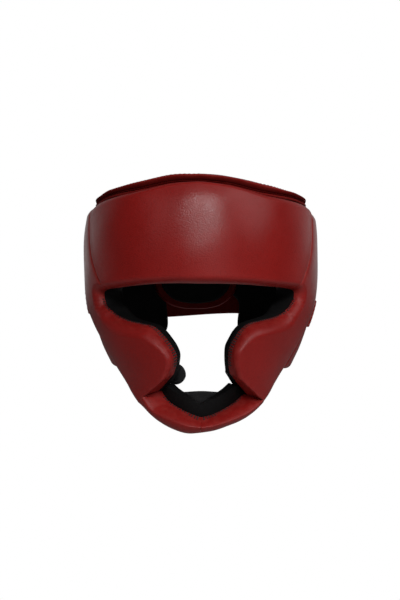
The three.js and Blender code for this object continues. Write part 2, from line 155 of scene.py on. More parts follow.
def mix(start, stop, share):
    """The value a share of the way from one to the other."""
    return start + (stop - start) * share


def hump(share):
    """0 at both ends of a row and 1 in its middle."""
    return 4 * share * (1 - share)


def fade(value, start, stop):
    """A smooth step from 0 at start to 1 at stop."""
    t = np.clip((value - start) / (stop - start), 0, 1)
    return t * t * (3 - 2 * t)


def hermite(start, step, leave, arrive, t):
    """A cubic from start to start + step, with its slopes at both ends."""
    return start + t * leave + t**2 * (3 * step - 2 * leave - arrive) + t**3 * (leave + arrive - 2 * step)


def row_at(rows, place):
    """Rows of a table at places between its rows, on a smooth curve that a corner row breaks."""
    place = np.asarray(place, float)
    last = len(next(iter(rows.values()))) - 1
    index = np.minimum(place.astype(int), last - 1)
    corner = rows.get("corner", np.zeros(last + 1))
    free_start = (index == 0) | (corner[index] > 0)
    free_stop = (index + 1 == last) | (corner[index + 1] > 0)
    found = {}
    for name, value in rows.items():
        step = value[index + 1] - value[index]
        leave = np.where(free_start, step, (value[index + 1] - value[np.maximum(index - 1, 0)]) / 2)
        arrive = np.where(free_stop, step, (value[np.minimum(index + 2, last)] - value[index]) / 2)
        found[name] = hermite(value[index], step, leave, arrive, place - index)
    return found


def row_where(rows, column, wanted):
    """Rows of a table found by the value in one column."""
    wanted = np.asarray(wanted, float)
    key = rows[column]
    order = np.sign(key[1] - key[0])
    last = len(key) - 1
    index = np.clip(np.searchsorted(order * key, order * wanted) - 1, 0, last - 1)
    span = key[index + 1] - key[index]
    low = np.maximum(np.arange(last + 1) - 1, 0)
    high = np.minimum(np.arange(last + 1) + 1, last)
    found = {}
    for name, value in rows.items():
        slope = (value[high] - value[low]) / (key[high] - key[low])
        step = value[index + 1] - value[index]
        t = (wanted - key[index]) / span
        found[name] = hermite(value[index], step, slope[index] * span, slope[index + 1] * span, t)
    return found


def skin(deg, z):
    """Points of the pads' outer skin."""
    deg, z = np.broadcast_arrays(np.asarray(deg, float), np.asarray(z, float))
    section = row_where(SKIN_SECTIONS, "z", z)
    across, ahead = np.sin(np.radians(deg)), np.cos(np.radians(deg))
    reach = np.where(ahead > 0, section["front"], section["rear"])
    power = section["square"]
    total = np.abs(across / section["half_width"]) ** power + np.abs(ahead / reach) ** power
    radius = total ** (-1 / power)
    return np.stack([radius * across, -radius * ahead, z], -1)


def outward(deg, z):
    """The skin's outward direction."""
    round_head = skin(deg + SLOPE_STEP, z) - skin(deg - SLOPE_STEP, z)
    up = skin(deg, z + SLOPE_STEP) - skin(deg, z - SLOPE_STEP)
    normal = np.cross(round_head, up)
    return normal / np.linalg.norm(normal, axis=-1, keepdims=True)


def inside(deg, z, depth):
    """Points at a depth inside the skin."""
    return skin(deg, z) - outward(deg, z) * np.asarray(depth, float)[..., None]


def pad_top(deg):
    """Height of the pads' top edge."""
    between_seams = np.clip(deg / SEAM_TOP_DEG, -1, 1)
    return row_where(PAD_TOP, "deg", np.abs(deg))["z"] - TOP_SKEW * np.sin(np.pi * between_seams)


def seam_row(share):
    """Angle and height of the seam between the brow and the cheek, a share of the way down it."""
    deg = mix(SEAM_TOP_DEG, SEAM_FOOT_DEG, share) + SEAM_BULGE * hump(share)
    return deg + SEAM_DEG, mix(float(pad_top(SEAM_TOP_DEG)), SEAM_FOOT_Z, share)


# Each pad is a strip between edge a and edge b, one row for each section along it. A bow pushes the middle
# of a row up, a bulge pushes it round, and a corner row breaks the curve. These are the viewer's right.
BROW_HALF = (
    (0, 0, -98, 0),
    (14.3, 11.5, -98.1, 0),
    (29.2, 23, -99.5, 0.5),
    (41.4, 32.5, -101.6, 1.2),
    (54.4, 40.4, -103.3, 2.2),
    (SEAM_TOP_DEG, SEAM_FOOT_DEG, SEAM_FOOT_Z, SEAM_BULGE),
)
CHEEK_ROWS = table(
    "a_deg a_z b_deg b_z bow corner",
    (*seam_row(0), 94, float(pad_top(94)), 0, 0),
    (*seam_row(0.25), 94, -46, 0, 0),
    (*seam_row(0.5), 93.5, -68, 0, 0),
    (*seam_row(0.75), 93, -86, 0, 0),
    (*seam_row(1), 92.3, -99, 0, 1),
    (51.4, -106, 91, -106, 0, 0),
    (55, -109.6, 89, -112, 0, 0),
    (56.2, -115.6, 86, -118.5, 0, 0),
    (55.4, -121.6, 82.5, -126, 0, 0),
    (52.2, -126.8, 77.5, -134.5, 0, 0),
    (47, -131, 71.8, -142.5, 0, 0),
    (40, -134.5, 66.6, -150.5, 0, 0),
    (31, -137, 62.4, -158, 0, 0),
    (24, -139.5, 58.8, -166, 0, 0),
    (20, -144.5, 55.6, -174.5, 0, 0),
    (17.8, -151, 52.2, -183, 0, 0),
    (16, -158, 48.2, -190.5, 0, 0),
    (14.7, -165.5, 44, -198, 0, 0),
    (14.5, -174, 39.8, -204.5, 0, 0),
    (16.5, -183.5, 35.2, -210, FOOT_BOW, 0),
)
SEAM_LAST = 4    # cheek row where the seam ends at the corner of the eye slot
SLOT_END = 7     # cheek row at the outer end of the eye slot
TIP_FIRST = 13   # cheek row where the slot turns down into the cheek's tip
FOOT_LAST = 19
EAR_REAR = table(
    "b_deg b_z sag",
    (157.5, -26, 0),
    (157.5, -42, 0),
    (157.5, -58, 0),
    (157.5, -72, 0),
    (157.5, -83, 0),
    (157.5, -90, 0),
    (157.5, -97, 0),
    (157.5, -104, 0),
    (157.5, -112, 0),
    (157.5, -120, 0),
    (157.5, -128, 0),
    (157.5, -136, 0),
    (157.5, -144, 0),
    (157.3, -152, 0),
    (156, -160, 0.4),
    (152, -168, 1),
)


def under_foot(deg):
    """The height just under the foot of a cheek pad."""
    foot = {name: value[-1] for name, value in CHEEK_ROWS.items()}
    share = (deg - foot["a_deg"]) / (foot["b_deg"] - foot["a_deg"])
    return mix(foot["a_z"], foot["b_z"], share) + FOOT_BOW * hump(share) - FOOT_GAP


CHIN_SEAM_DEG = 0.005
CHIN_ROWS = {
    "left": table(
        "a_deg a_z b_deg b_z corner",
        (CHIN_SEAM_DEG, -225.2, CHIN_SEAM_DEG, -236.8, 0),
        (7.3, -222, 8, -237.7, 0),
        (14.5, -217.8, 15.5, -234.9, 0),
        (23, -211.6, 22.4, -229, 0),
        (28.5, under_foot(28.5), 28, -221.2, 1),
        (31.6, under_foot(31.6), 32, -214.6, 0),
        (34.5, under_foot(34.5), 35, -210.9, 0),
    ),
    "right": table(
        "a_deg a_z b_deg b_z corner",
        (CHIN_SEAM_DEG, -225.2, CHIN_SEAM_DEG, -236.8, 0),
        (7.3, -223.2, 8, -235, 0),
        (14.5, -219.4, 15.5, -231.6, 0),
        (23.5, -213.8, 22.6, -227.2, 0),
        (32, under_foot(32), 29.4, -220.2, 1),
        (33.4, under_foot(33.4), 32.6, -215.2, 0),
        (34.5, under_foot(34.5), 35, -210.9, 0),
    ),
}
CHIN_LINING_ROWS = table(
    "a_deg a_z b_deg b_z corner",
    (CHIN_SEAM_DEG, -212, CHIN_SEAM_DEG, -233.5, 0),
    (7.5, -207, 8, -233, 0),
    (14.5, -203, 15.5, -230, 0),
    (24.6, under_foot(24.6), 24.4, -223.6, 1),
    (26.5, under_foot(26.5), 27.4, -220, 0),
    (30, under_foot(30), 31, -215.5, 0),
    (34, under_foot(34), 34.4, -211.4, 0),
)


def brow_rows():
    """The brow's rows over its whole width."""
    right = np.array(BROW_HALF)
    left = right[:0:-1] * np.array([-1, -1, 1, -1])
    rows = table("a_deg b_deg b_z bulge", *left, *right)
    rows["b_z"] -= LOW_SKEW * np.sin(np.pi * rows["b_deg"] / SEAM_FOOT_DEG)
    return {**rows, "a_z": pad_top(rows["a_deg"])}


EAR_SHIFT_HEIGHTS = (112, 134)    # under the crown, where the rear edge starts and stops moving over


def ear_rows(rear_shift, sag):
    """The ear pad's rows: the cheek's rear edge is its front edge, and its own rear edge is shifted."""
    rows = {name: value.copy() for name, value in EAR_REAR.items()}
    count = len(rows["b_deg"])
    rows["b_deg"] += mix(*rear_shift, fade(-rows["b_z"], *EAR_SHIFT_HEIGHTS))
    rows["a_deg"] = CHEEK_ROWS["b_deg"][:count] + SEAM_DEG
    rows["a_z"] = CHEEK_ROWS["b_z"][:count]
    rows["corner"] = CHEEK_ROWS["corner"][:count]
    rows["bow"] = -sag * rows["sag"]
    return rows


def tongue_rows(mid_deg, border_deg, border):
    """The tongue's rows, drawn in by a border for its lining."""
    count = len(TONGUE_ROWS["z"])
    half = TONGUE_ROWS["half_deg"] - np.minimum(border_deg, TONGUE_ROWS["half_deg"] / 2)
    z = TONGUE_ROWS["z"] + border * np.arange(count) / (count - 1)
    z[0] -= border
    return {"a_deg": mid_deg - half, "a_z": z, "b_deg": mid_deg + half, "b_z": z}


# Soft strips: padded panels with rolled rims

# A rolled rim: which edge it is, and row by row along it how wide the roll is, how far it drops and how round
# it is (1 is a chamfer, 2 a quarter of an ellipse). Across an end, place goes from 0 to 1.
Rim = namedtuple("Rim", "edge rolls")
# A strip: angles and heights over it, where its stations lie among the rows, how far its columns are from
# edge a to edge b, and its points on the skin.
Strip = namedtuple("Strip", "deg z place share at")
ROLL_BLEND = 4          # how sharply two rolls meet in a corner
ROW_SAMPLES = 40        # samples between two rows where a strip's length is measured


def spread(count, crowding):
    """Steps from 0 to 1 that crowd towards both ends."""
    share = np.linspace(0, 1, count + 1)
    return mix(share, (1 - np.cos(np.pi * share)) / 2, crowding)


def lay_strip(rows, side, along, across, a_weight=0.5, end_crowding=0.35, crowding=0.85):
    """Stations and columns over a strip, spread evenly along it and crowded towards its rims."""
    last = len(rows["a_deg"]) - 1
    fine = np.linspace(0, last, ROW_SAMPLES * last + 1)
    row = row_at(rows, fine)
    step_a = np.linalg.norm(np.diff(skin(row["a_deg"], row["a_z"]), axis=0), axis=1)
    step_b = np.linalg.norm(np.diff(skin(row["b_deg"], row["b_z"]), axis=0), axis=1)
    length = np.concatenate([[0], np.cumsum(mix(step_b, step_a, a_weight))])
    place = np.interp(spread(along, end_crowding) * length[-1], length, fine)
    row = {name: value[:, None] for name, value in row_at(rows, place).items()}
    share = spread(across, crowding)[None, :]
    deg = mix(row["a_deg"], row["b_deg"], share) + row.get("bulge", 0) * hump(share)
    z = mix(row["a_z"], row["b_z"], share) + row.get("bow", 0) * hump(share)
    return Strip(side * deg, z, place, share, skin(side * deg, z))


def rolled(edge, *rows):
    """A rim whose roll changes along it."""
    return Rim(edge, table("place reach drop power", *rows))


def even_rim(edge, reach, drop, last=1, power=2):
    """A rim with the same roll from its first row to its last."""
    return rolled(edge, (0, reach, drop, power), (last, reach, drop, power))


def rims_all_round(reach, drop, last=1):
    """The same roll on all four edges of a strip."""
    return [even_rim(edge, reach, drop, last) for edge in ("a", "b", "start", "stop")]


def rim_line(strip, rim):
    """The points of a rim and the place of each one."""
    if rim.edge in ("start", "stop"):
        return strip.at[0 if rim.edge == "start" else -1], np.linspace(0, 1, strip.at.shape[1])
    place = rim.rolls["place"]
    picked = (strip.place >= place[0]) & (strip.place <= place[-1])
    return strip.at[picked, 0 if rim.edge == "a" else -1], strip.place[picked]


def near_line(points, line):
    """Each point's distance to a line, and where among the line's points it is nearest to it."""
    tree = KDTree(len(line))
    for k, point in enumerate(line):
        tree.insert(point, k)
    tree.balance()
    nearest = np.array([tree.find(point)[1] for point in points])
    distance = np.full(len(points), np.inf)
    index = np.zeros(len(points))
    for start in (nearest - 1, nearest):
        start = np.clip(start, 0, len(line) - 2)
        way = line[start + 1] - line[start]
        t = np.clip(np.sum((points - line[start]) * way, 1) / np.sum(way * way, 1), 0, 1)
        gap = np.linalg.norm(points - line[start] - way * t[:, None], axis=1)
        closer = gap < distance
        distance[closer] = gap[closer]
        index[closer] = (start + t)[closer]
    return distance, index


def at_index(values, index):
    """Values of a line's points at places between them."""
    return np.interp(index, np.arange(len(values)), values)


def roll(distance, reach, drop, power):
    """How far a rolled rim has dropped at a distance from it."""
    left = np.clip(1 - distance / reach, 0, 1)
    return drop * (1 - (1 - left**power) ** (1 / power))


def roll_rims(strip, rims):
    """The drop of a strip's face at its rolled rims, and the distance to the nearest of them."""
    points = strip.at.reshape(-1, 3)
    total = np.zeros(len(points))
    closest = np.full(len(points), np.inf)
    for rim in rims:
        line, place = rim_line(strip, rim)
        distance, index = near_line(points, line)
        place = at_index(place, index)
        size = {name: np.interp(place, rim.rolls["place"], value) for name, value in rim.rolls.items()}
        total += roll(distance, size["reach"], size["drop"], size["power"]) ** ROLL_BLEND
        closest = np.minimum(closest, distance)
    shape = strip.deg.shape
    return (total ** (1 / ROLL_BLEND)).reshape(shape), closest.reshape(shape)


# Low waves in a stuffed face: radians in a metre each way, and a start.
WAVES = table(
    "x y z start",
    (96, 40, 71, 0.4),
    (-63, 88, 104, 2.1),
    (121, -35, -78, 4.4),
    (30, 110, -118, 1.3),
)


def unevenness(points, height):
    """Low waves over a padded face."""
    phase = points * MM @ np.array([WAVES["x"], WAVES["y"], WAVES["z"]]) + WAVES["start"]
    return height * np.sum(np.sin(phase), -1) / np.sqrt(phase.shape[-1])


# Making meshes

SMOOTH_DEG = 50    # sharper corners than this stay sharp


def new_piece(name, points, faces, smooth_deg=SMOOTH_DEG, fields=None, uv=None):
    """A new object at the origin with its place in its mesh, its faces turned outwards and smoothed."""
    mesh = bpy.data.meshes.new(name)
    mesh.from_pydata((np.asarray(points) * MM).tolist(), [], faces)
    mesh.update()
    for field, value in (fields or {}).items():
        mesh.attributes.new(field, "FLOAT", "POINT").data.foreach_set("value", value.astype(np.float32))
    if uv is not None:
        corner = np.zeros(len(mesh.loops), np.int32)
        mesh.loops.foreach_get("vertex_index", corner)
        mesh.uv_layers.new(name="along").data.foreach_set("uv", uv[corner].astype(np.float32).ravel())
    piece = bpy.data.objects.new(name, mesh)
    bpy.context.scene.collection.objects.link(piece)
    bpy.ops.object.select_all(action="DESELECT")
    piece.select_set(True)
    bpy.context.view_layer.objects.active = piece
    bpy.ops.object.mode_set(mode="EDIT")
    bpy.ops.mesh.select_all(action="SELECT")
    bpy.ops.mesh.normals_make_consistent(inside=False)
    bpy.ops.object.mode_set(mode="OBJECT")
    bpy.ops.object.shade_smooth_by_angle(angle=math.radians(smooth_deg))
    piece.select_set(False)
    return piece


def dress(piece, slot, node=None, thread=None):
    """Gives a piece its slot's finish, or a thread's, and makes it ride on the frame in place of a node."""
    piece.data.materials.append(finish(thread or slot))
    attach(piece, "root")
    if node:
        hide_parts(node)


def closed_strip(name, face, back, fields=None, uv=None, inner_painted_shade=0, rim=0):
    """A closed piece from a fine face and a coarse back, two grids of points with the same stations.

    The back, and as many of the face's outer rows as the rim has, get painted shade, which darkens their
    colour.
    """
    section = np.concatenate([face, back[:, ::-1]], axis=1)
    stations, around = section.shape[:2]
    start, column = np.meshgrid(np.arange(stations - 1) * around, np.arange(around), indexing="ij")
    following = (column + 1) % around
    onward = start + around
    quads = np.stack([start + column, start + following, onward + following, onward + column], -1)
    faces = quads.reshape(-1, 4).tolist()
    last = (stations - 1) * around
    faces.append(list(range(around - 1, -1, -1)))
    faces.append(list(range(last, last + around)))
    padding = back.shape[1]
    full = {
        field: np.pad(value, ((0, 0), (0, padding)), mode="edge").ravel()
        for field, value in (fields or {}).items()
    }
    # Painted shade on the back and on the rim's rows.
    if inner_painted_shade:
        painted_shade = np.full((stations, around), float(inner_painted_shade))
        painted_shade[rim : stations - rim, rim : face.shape[1] - rim] = 0
        full["painted_shade"] = painted_shade.ravel()
    if uv is not None:
        uv = np.pad(uv, ((0, 0), (0, padding), (0, 0)), mode="edge").reshape(-1, 2)
    return new_piece(name, section.reshape(-1, 3), faces, fields=full, uv=uv)


BACK_COLUMNS = 9
WAVE = 0.25    # height of the low waves in a pad


def back_grid(strip, depth):
    """The plain hidden side of a pad, a few columns wide."""
    picked = np.linspace(0, strip.deg.shape[1] - 1, BACK_COLUMNS).round().astype(int)
    depth = np.broadcast_to(depth, strip.deg.shape)
    return inside(strip.deg[:, picked], strip.z[:, picked], depth[:, picked])


def sew_pad(node, strip, rims, depth, thick, relief=None):
    """A padded leather panel over one of the frame's pads: rolled rims, low waves and any relief."""
    drop, edge = roll_rims(strip, rims)
    height = unevenness(strip.at, WAVE)
    if relief is not None:
        height = height + relief
    face = inside(strip.deg, strip.z, depth + drop - height)
    piece = closed_strip(node + "_sewn", face, back_grid(strip, depth + thick), {"edge": edge})
    return piece, face


def line_pad(node, strip, rims, depth, thick, wave=WAVE):
    """A padded lining behind a pad, rolled on the side of the head."""
    drop, edge = roll_rims(strip, rims)
    face = inside(strip.deg, strip.z, depth + thick - drop + unevenness(strip.at, wave))
    return closed_strip(node + "_sewn", face, back_grid(strip, depth), {"edge": edge})


# Stitches

# One stitch: where each ring lies along it, as a share of its length, and how high, in thread widths.
STITCH_RINGS = table("along height", (-0.5, -0.55), (-0.36, 0.2), (0, 0.42), (0.36, 0.2), (0.5, -0.55))
STITCH_SIDES = 6
STITCH_SHARE = 0.8        # of its pitch that a stitch covers
STITCH_SMOOTH_DEG = 80
THREAD_RADIUS = 0.5       # in thread widths


def unit(vectors):
    """The same directions with length 1."""
    return vectors / np.linalg.norm(vectors, axis=-1, keepdims=True)


def sew(name, runs, pitch, width, thread, slot):
    """One piece of arched stitches along runs of points, each with the outward directions there."""
    points, faces = [], []
    turn = 2 * np.pi * np.arange(STITCH_SIDES) / STITCH_SIDES
    for line, out in runs:
        steps = np.linalg.norm(np.diff(line, axis=0), axis=1)
        travelled = np.concatenate([[0], np.cumsum(steps)])
        count = max(int(travelled[-1] / pitch), 1)
        at = (np.arange(count) + 0.5) * travelled[-1] / count

        def sample(values, where):
            return np.stack([np.interp(where, travelled, values[:, k]) for k in range(3)], -1)

        middle, normal = sample(line, at), unit(sample(out, at))
        way = unit(sample(line, at + pitch / 4) - sample(line, at - pitch / 4))
        side = np.cross(way, normal)
        for k in range(count):
            first = len(points)
            for along, height in zip(STITCH_RINGS["along"], STITCH_RINGS["height"]):
                centre = middle[k] + way[k] * along * pitch * STITCH_SHARE + normal[k] * height * width
                for angle in turn:
                    offset = side[k] * math.cos(angle) + normal[k] * math.sin(angle)
                    points.append(centre + offset * THREAD_RADIUS * width)
            for ring in range(len(STITCH_RINGS["along"]) - 1):
                low = first + ring * STITCH_SIDES
                for j in range(STITCH_SIDES):
                    after = (j + 1) % STITCH_SIDES
                    faces.append([low + j, low + after, low + STITCH_SIDES + after, low + STITCH_SIDES + j])
            tail = first + (len(STITCH_RINGS["along"]) - 1) * STITCH_SIDES
            faces.append([first + j for j in range(STITCH_SIDES)])
            faces.append([tail + j for j in range(STITCH_SIDES)])
    dress(new_piece(name, points, faces, STITCH_SMOOTH_DEG), slot, thread=thread)


def sew_seam(name, runs, sizes, thread="red_thread", slot="red_leather"):
    """Stitches along the seams and borders."""
    sew(name, runs, sizes.stitch_pitch, sizes.stitch_thread, thread, slot)


def sew_edge(name, runs, sizes):
    """The closer stitches over the leather's edge round the face."""
    sew(name, runs, sizes.edge_pitch, sizes.edge_thread, "black_thread", "black_lining")


def run_along(face, column):
    """A run of stitches up one column of a face: its points and outward directions."""
    line = face[:, column]
    way = np.gradient(line, axis=0)
    over = face[:, min(column + 1, face.shape[1] - 1)] - face[:, max(column - 1, 0)]
    normal = unit(np.cross(way, over))
    centre = face.reshape(-1, 3).mean(0)
    facing = np.sign(np.sum(normal * (line - centre * [0, 0, 1]), -1, keepdims=True))
    return line, normal * facing


# How far the stitches reach over the leather's edge, measured straight up and across.
OVER_EDGE = {"cheek": 3.3, "chin": 2.2}
WALL_STEPS = 8    # steps from the lining to the leather's face
RUN_POINTS = 3    # fewest points of a run


def over_edge(face, hem, pitch, reach):
    """One short run from a hem over the edge of a face for each of the stitches that hold it."""
    travelled = np.concatenate([[0], np.cumsum(np.linalg.norm(np.diff(hem, axis=0), axis=1))])
    stations = np.searchsorted(travelled, np.arange(pitch, travelled[-1] - pitch, pitch))
    runs = []
    for station in stations:
        wall = mix(hem[station], face[station, 0], np.linspace(0, 1, WALL_STEPS + 1)[:, None])
        line = np.concatenate([wall, face[station, 1:]])
        travel = np.hypot(line[:, 0] - line[0, 0], line[:, 2] - line[0, 2])
        line = line[: max(int(np.argmax(travel > reach)), RUN_POINTS)]
        along = hem[station + 1] - hem[station - 1]
        normal = unit(np.cross(along, np.gradient(line, axis=0)))
        facing = np.sign(normal[0] @ (face[station, 0] - face[station, 1]))
        runs.append((line, normal * facing))
    return runs


# Materials


def node_of(tree, kind, settings=None, **inputs):
    """A new node with its settings and input values, where a value may be another node's socket."""
    node = tree.nodes.new(kind)
    for name, value in (settings or {}).items():
        setattr(node, name, value)
    for name, value in inputs.items():
        socket = node.inputs[int(name[1:]) if name[1:].isdigit() else name.replace("_", " ")]
        if isinstance(value, bpy.types.NodeSocket):
            tree.links.new(value, socket)
        else:
            socket.default_value = value
    return node


def attribute(tree, name):
    """A number that the pieces' points carry."""
    return node_of(tree, "ShaderNodeAttribute", {"attribute_name": name}).outputs["Fac"]


def math_of(tree, operation, first, second):
    """The result of one arithmetic step."""
    return node_of(tree, "ShaderNodeMath", {"operation": operation}, i0=first, i1=second).outputs[0]


def ramp_of(tree, value, given, wanted):
    """A value mapped from one range to another."""
    ends = {"From_Min": given[0], "From_Max": given[1], "To_Min": wanted[0], "To_Max": wanted[1]}
    return node_of(tree, "ShaderNodeMapRange", Value=value, **ends).outputs["Result"]


def mix_colours(tree, factor, first, second, blend="MIX"):
    """Two colours mixed by a mask."""
    node = node_of(tree, "ShaderNodeMix", {"data_type": "RGBA", "blend_type": blend}, i0=factor)
    for socket, value in ((node.inputs[6], first), (node.inputs[7], second)):
        if isinstance(value, bpy.types.NodeSocket):
            tree.links.new(value, socket)
        else:
            socket.default_value = value
    return node.outputs[2]


def new_group(name, inputs, outputs):
    """A shader node group with named sockets, and its input and output nodes."""
    group = bpy.data.node_groups.new(name, "ShaderNodeTree")
    for socket, kind, default in inputs:
        item = group.interface.new_socket(socket, in_out="INPUT", socket_type=kind)
        item.default_value = default
    for socket in outputs:
        group.interface.new_socket(socket, in_out="OUTPUT", socket_type="NodeSocketFloat")
    return group, group.nodes.new("NodeGroupInput").outputs, group.nodes.new("NodeGroupOutput").inputs


GRAIN_WARP = 0.0009    # metres that the pebbles' outlines wander


def grain_group():
    """Pebbled grain of leather: a height, and a mask of the creases between the pebbles."""
    group, given, result = new_group(
        "Pebbled grain",
        [("Vector", "NodeSocketVector", (0, 0, 0)), ("Cells", "NodeSocketFloat", 900)],
        ["Height", "Crease"],
    )
    warp = node_of(group, "ShaderNodeTexNoise", Vector=given["Vector"], Scale=420.0, Detail=2.0)
    shifted = node_of(
        group,
        "ShaderNodeVectorMath",
        {"operation": "MULTIPLY_ADD"},
        i0=warp.outputs["Color"],
        i1=(GRAIN_WARP, GRAIN_WARP, GRAIN_WARP),
        i2=given["Vector"],
    )
    cells = node_of(
        group,
        "ShaderNodeTexVoronoi",
        {"feature": "SMOOTH_F1"},
        Vector=shifted.outputs[0],
        Scale=given["Cells"],
        Smoothness=0.6,
    )
    fine = node_of(group, "ShaderNodeTexNoise", Vector=given["Vector"], Scale=2600.0, Detail=3.0)
    pebble = ramp_of(group, cells.outputs["Distance"], (0.1, 0.75), (1.0, 0.0))
    height = math_of(group, "MULTIPLY_ADD", fine.outputs["Fac"], 0.3)
    group.links.new(pebble, height.node.inputs[2])
    group.links.new(height, result["Height"])
    group.links.new(ramp_of(group, cells.outputs["Distance"], (0.45, 0.8), (0.0, 1.0)), result["Crease"])
    return group


def mottle_group():
    """Slow change over a surface: a wide mask and a fine one."""
    group, given, result = new_group(
        "Mottle",
        [("Vector", "NodeSocketVector", (0, 0, 0)), ("Scale", "NodeSocketFloat", 14)],
        ["Wide", "Fine"],
    )
    wide = node_of(group, "ShaderNodeTexNoise", Vector=given["Vector"], Scale=given["Scale"], Detail=3.0)
    finer = math_of(group, "MULTIPLY", given["Scale"], 11.0)
    fine = node_of(group, "ShaderNodeTexNoise", Vector=given["Vector"], Scale=finer, Detail=4.0)
    group.links.new(ramp_of(group, wide.outputs["Fac"], (0.3, 0.7), (0.0, 1.0)), result["Wide"])
    group.links.new(ramp_of(group, fine.outputs["Fac"], (0.3, 0.7), (0.0, 1.0)), result["Fine"])
    return group


def wear_group():
    """Rubbed rims: a mask that is strongest at a piece's edge, broken up by noise."""
    group, given, result = new_group(
        "Edge wear",
        [("Vector", "NodeSocketVector", (0, 0, 0)), ("Width", "NodeSocketFloat", 6)],
        ["Worn"],
    )
    near = math_of(group, "DIVIDE", attribute(group, "edge"), given["Width"])
    near = ramp_of(group, near, (0.0, 1.0), (1.0, 0.0))
    broken = node_of(group, "ShaderNodeTexNoise", Vector=given["Vector"], Scale=180.0, Detail=4.0)
    patches = ramp_of(group, broken.outputs["Fac"], (0.42, 0.68), (0.0, 1.0))
    group.links.new(math_of(group, "MULTIPLY", near, patches), result["Worn"])
    return group


def weave_group():
    """Woven threads along a strap's own map: a height, and a mask of the gaps between the threads."""
    group, given, result = new_group(
        "Weave",
        [("Vector", "NodeSocketVector", (0, 0, 0)), ("Threads", "NodeSocketFloat", 900)],
        ["Height", "Gap"],
    )
    parts = node_of(group, "ShaderNodeSeparateXYZ", Vector=given["Vector"])
    waves = []
    for axis, share in (("X", 1.0), ("Y", 0.55)):
        turns = math_of(group, "MULTIPLY", parts.outputs[axis], given["Threads"])
        waves.append(math_of(group, "SINE", math_of(group, "MULTIPLY", turns, 2 * math.pi * share), 0.0))
    cross = math_of(group, "MULTIPLY", waves[0], waves[1])
    group.links.new(ramp_of(group, cross, (-1.0, 1.0), (0.0, 1.0)), result["Height"])
    group.links.new(ramp_of(group, cross, (-0.6, -1.0), (0.0, 1.0)), result["Gap"])
    return group


GROUPS = {"grain": grain_group, "mottle": mottle_group, "wear": wear_group, "weave": weave_group}
made_groups = {}


def group_of(tree, kind, **inputs):
    """A shared effect placed in a material with its own values."""
    if kind not in made_groups:
        made_groups[kind] = GROUPS[kind]()
    return node_of(tree, "ShaderNodeGroup", {"node_tree": made_groups[kind]}, **inputs)


def new_material(name, **shader_values):
    """A material with a Principled shader and its plain values."""
    material = bpy.data.materials.new(name)
    material.use_nodes = True
    tree = material.node_tree
    shader = tree.nodes["Principled BSDF"]
    for socket, value in shader_values.items():
        shader.inputs[socket.replace("_", " ")].default_value = value
    return material, tree, shader


def bump(tree, shader, height, strength, distance):
    """Relief from a height."""
    node = node_of(tree, "ShaderNodeBump", Strength=strength, Distance=distance, Height=height)
    tree.links.new(node.outputs["Normal"], shader.inputs["Normal"])


def scaled(colour, share):
    """A colour made lighter or darker."""
    return tuple(min(part * share, 1.0) for part in colour[:3]) + (1.0,)


# Red leather: shares of its colour and of its masks, its specular level and its roughness.
LEATHER_TONES = (0.88, 1.1)
LEATHER_CREASE = {"share": 0.35, "tone": 0.55}
LEATHER_WORN = 0.3
# How much painted shade darkens the colour, and the tone it darkens to; the shaded gloss and roughness below
# are for the same places.
LEATHER_PAINTED_SHADE = {"share": 0.8, "tone": 0.2}
LEATHER_GLOSS = {"open": 0.24, "shaded": 0.06, "dull": 0.6}
LEATHER_ROUGH = {"low": 0.29, "high": 0.36, "rim": 0.14, "dull": 0.22, "shaded": 0.3}
LEATHER_RIM = (2.0, 11.0)    # distance from its rim over which leather gets glossier


def red_leather(colours):
    """Satin red leather: slow change of tone, pebbled grain, rubbed rims, and painted shade that darkens it
    where its mask is set.
    """
    material, tree, shader = new_material("red_leather")
    red = colours.leather
    place = node_of(tree, "ShaderNodeTexCoord").outputs["Object"]
    edge, painted_shade, dull = (attribute(tree, name) for name in ("edge", "painted_shade", "dull"))
    mottle = group_of(tree, "mottle", Vector=place, Scale=16.0)
    grain = group_of(tree, "grain", Vector=place, Cells=950.0)
    wear = group_of(tree, "wear", Vector=place, Width=5.0)
    tone = mix_colours(tree, mottle.outputs["Wide"], *(scaled(red, share) for share in LEATHER_TONES))
    crease = math_of(tree, "MULTIPLY", grain.outputs["Crease"], LEATHER_CREASE["share"])
    tone = mix_colours(tree, crease, tone, scaled(red, LEATHER_CREASE["tone"]))
    worn = math_of(tree, "MULTIPLY", wear.outputs["Worn"], LEATHER_WORN)
    tone = mix_colours(tree, worn, tone, scaled(colours.leather_worn, 1.0))
    # Painted shade: the colour darkens where the painted-shade mask is set.
    dark = math_of(tree, "MULTIPLY", painted_shade, LEATHER_PAINTED_SHADE["share"])
    tone = mix_colours(tree, dark, tone, scaled(red, LEATHER_PAINTED_SHADE["tone"]))
    tree.links.new(tone, shader.inputs["Base Color"])
    gloss = ramp_of(tree, painted_shade, (0.0, 1.0), (LEATHER_GLOSS["open"], LEATHER_GLOSS["shaded"]))
    gloss = math_of(tree, "MULTIPLY", gloss, ramp_of(tree, dull, (0.0, 1.0), (1.0, LEATHER_GLOSS["dull"])))
    tree.links.new(gloss, shader.inputs["Specular IOR Level"])
    rough = ramp_of(tree, mottle.outputs["Fine"], (0.0, 1.0), (LEATHER_ROUGH["low"], LEATHER_ROUGH["high"]))
    rough = math_of(tree, "ADD", rough, ramp_of(tree, edge, LEATHER_RIM, (LEATHER_ROUGH["rim"], 0.0)))
    rough = math_of(tree, "ADD", rough, ramp_of(tree, dull, (0.0, 1.0), (0.0, LEATHER_ROUGH["dull"])))
    rough = math_of(tree, "ADD", rough, ramp_of(tree, painted_shade, (0.0, 1.0), (0.0, LEATHER_ROUGH["shaded"])))
    tree.links.new(rough, shader.inputs["Roughness"])
    bump(tree, shader, grain.outputs["Height"], 0.16, 0.0004)
    return material


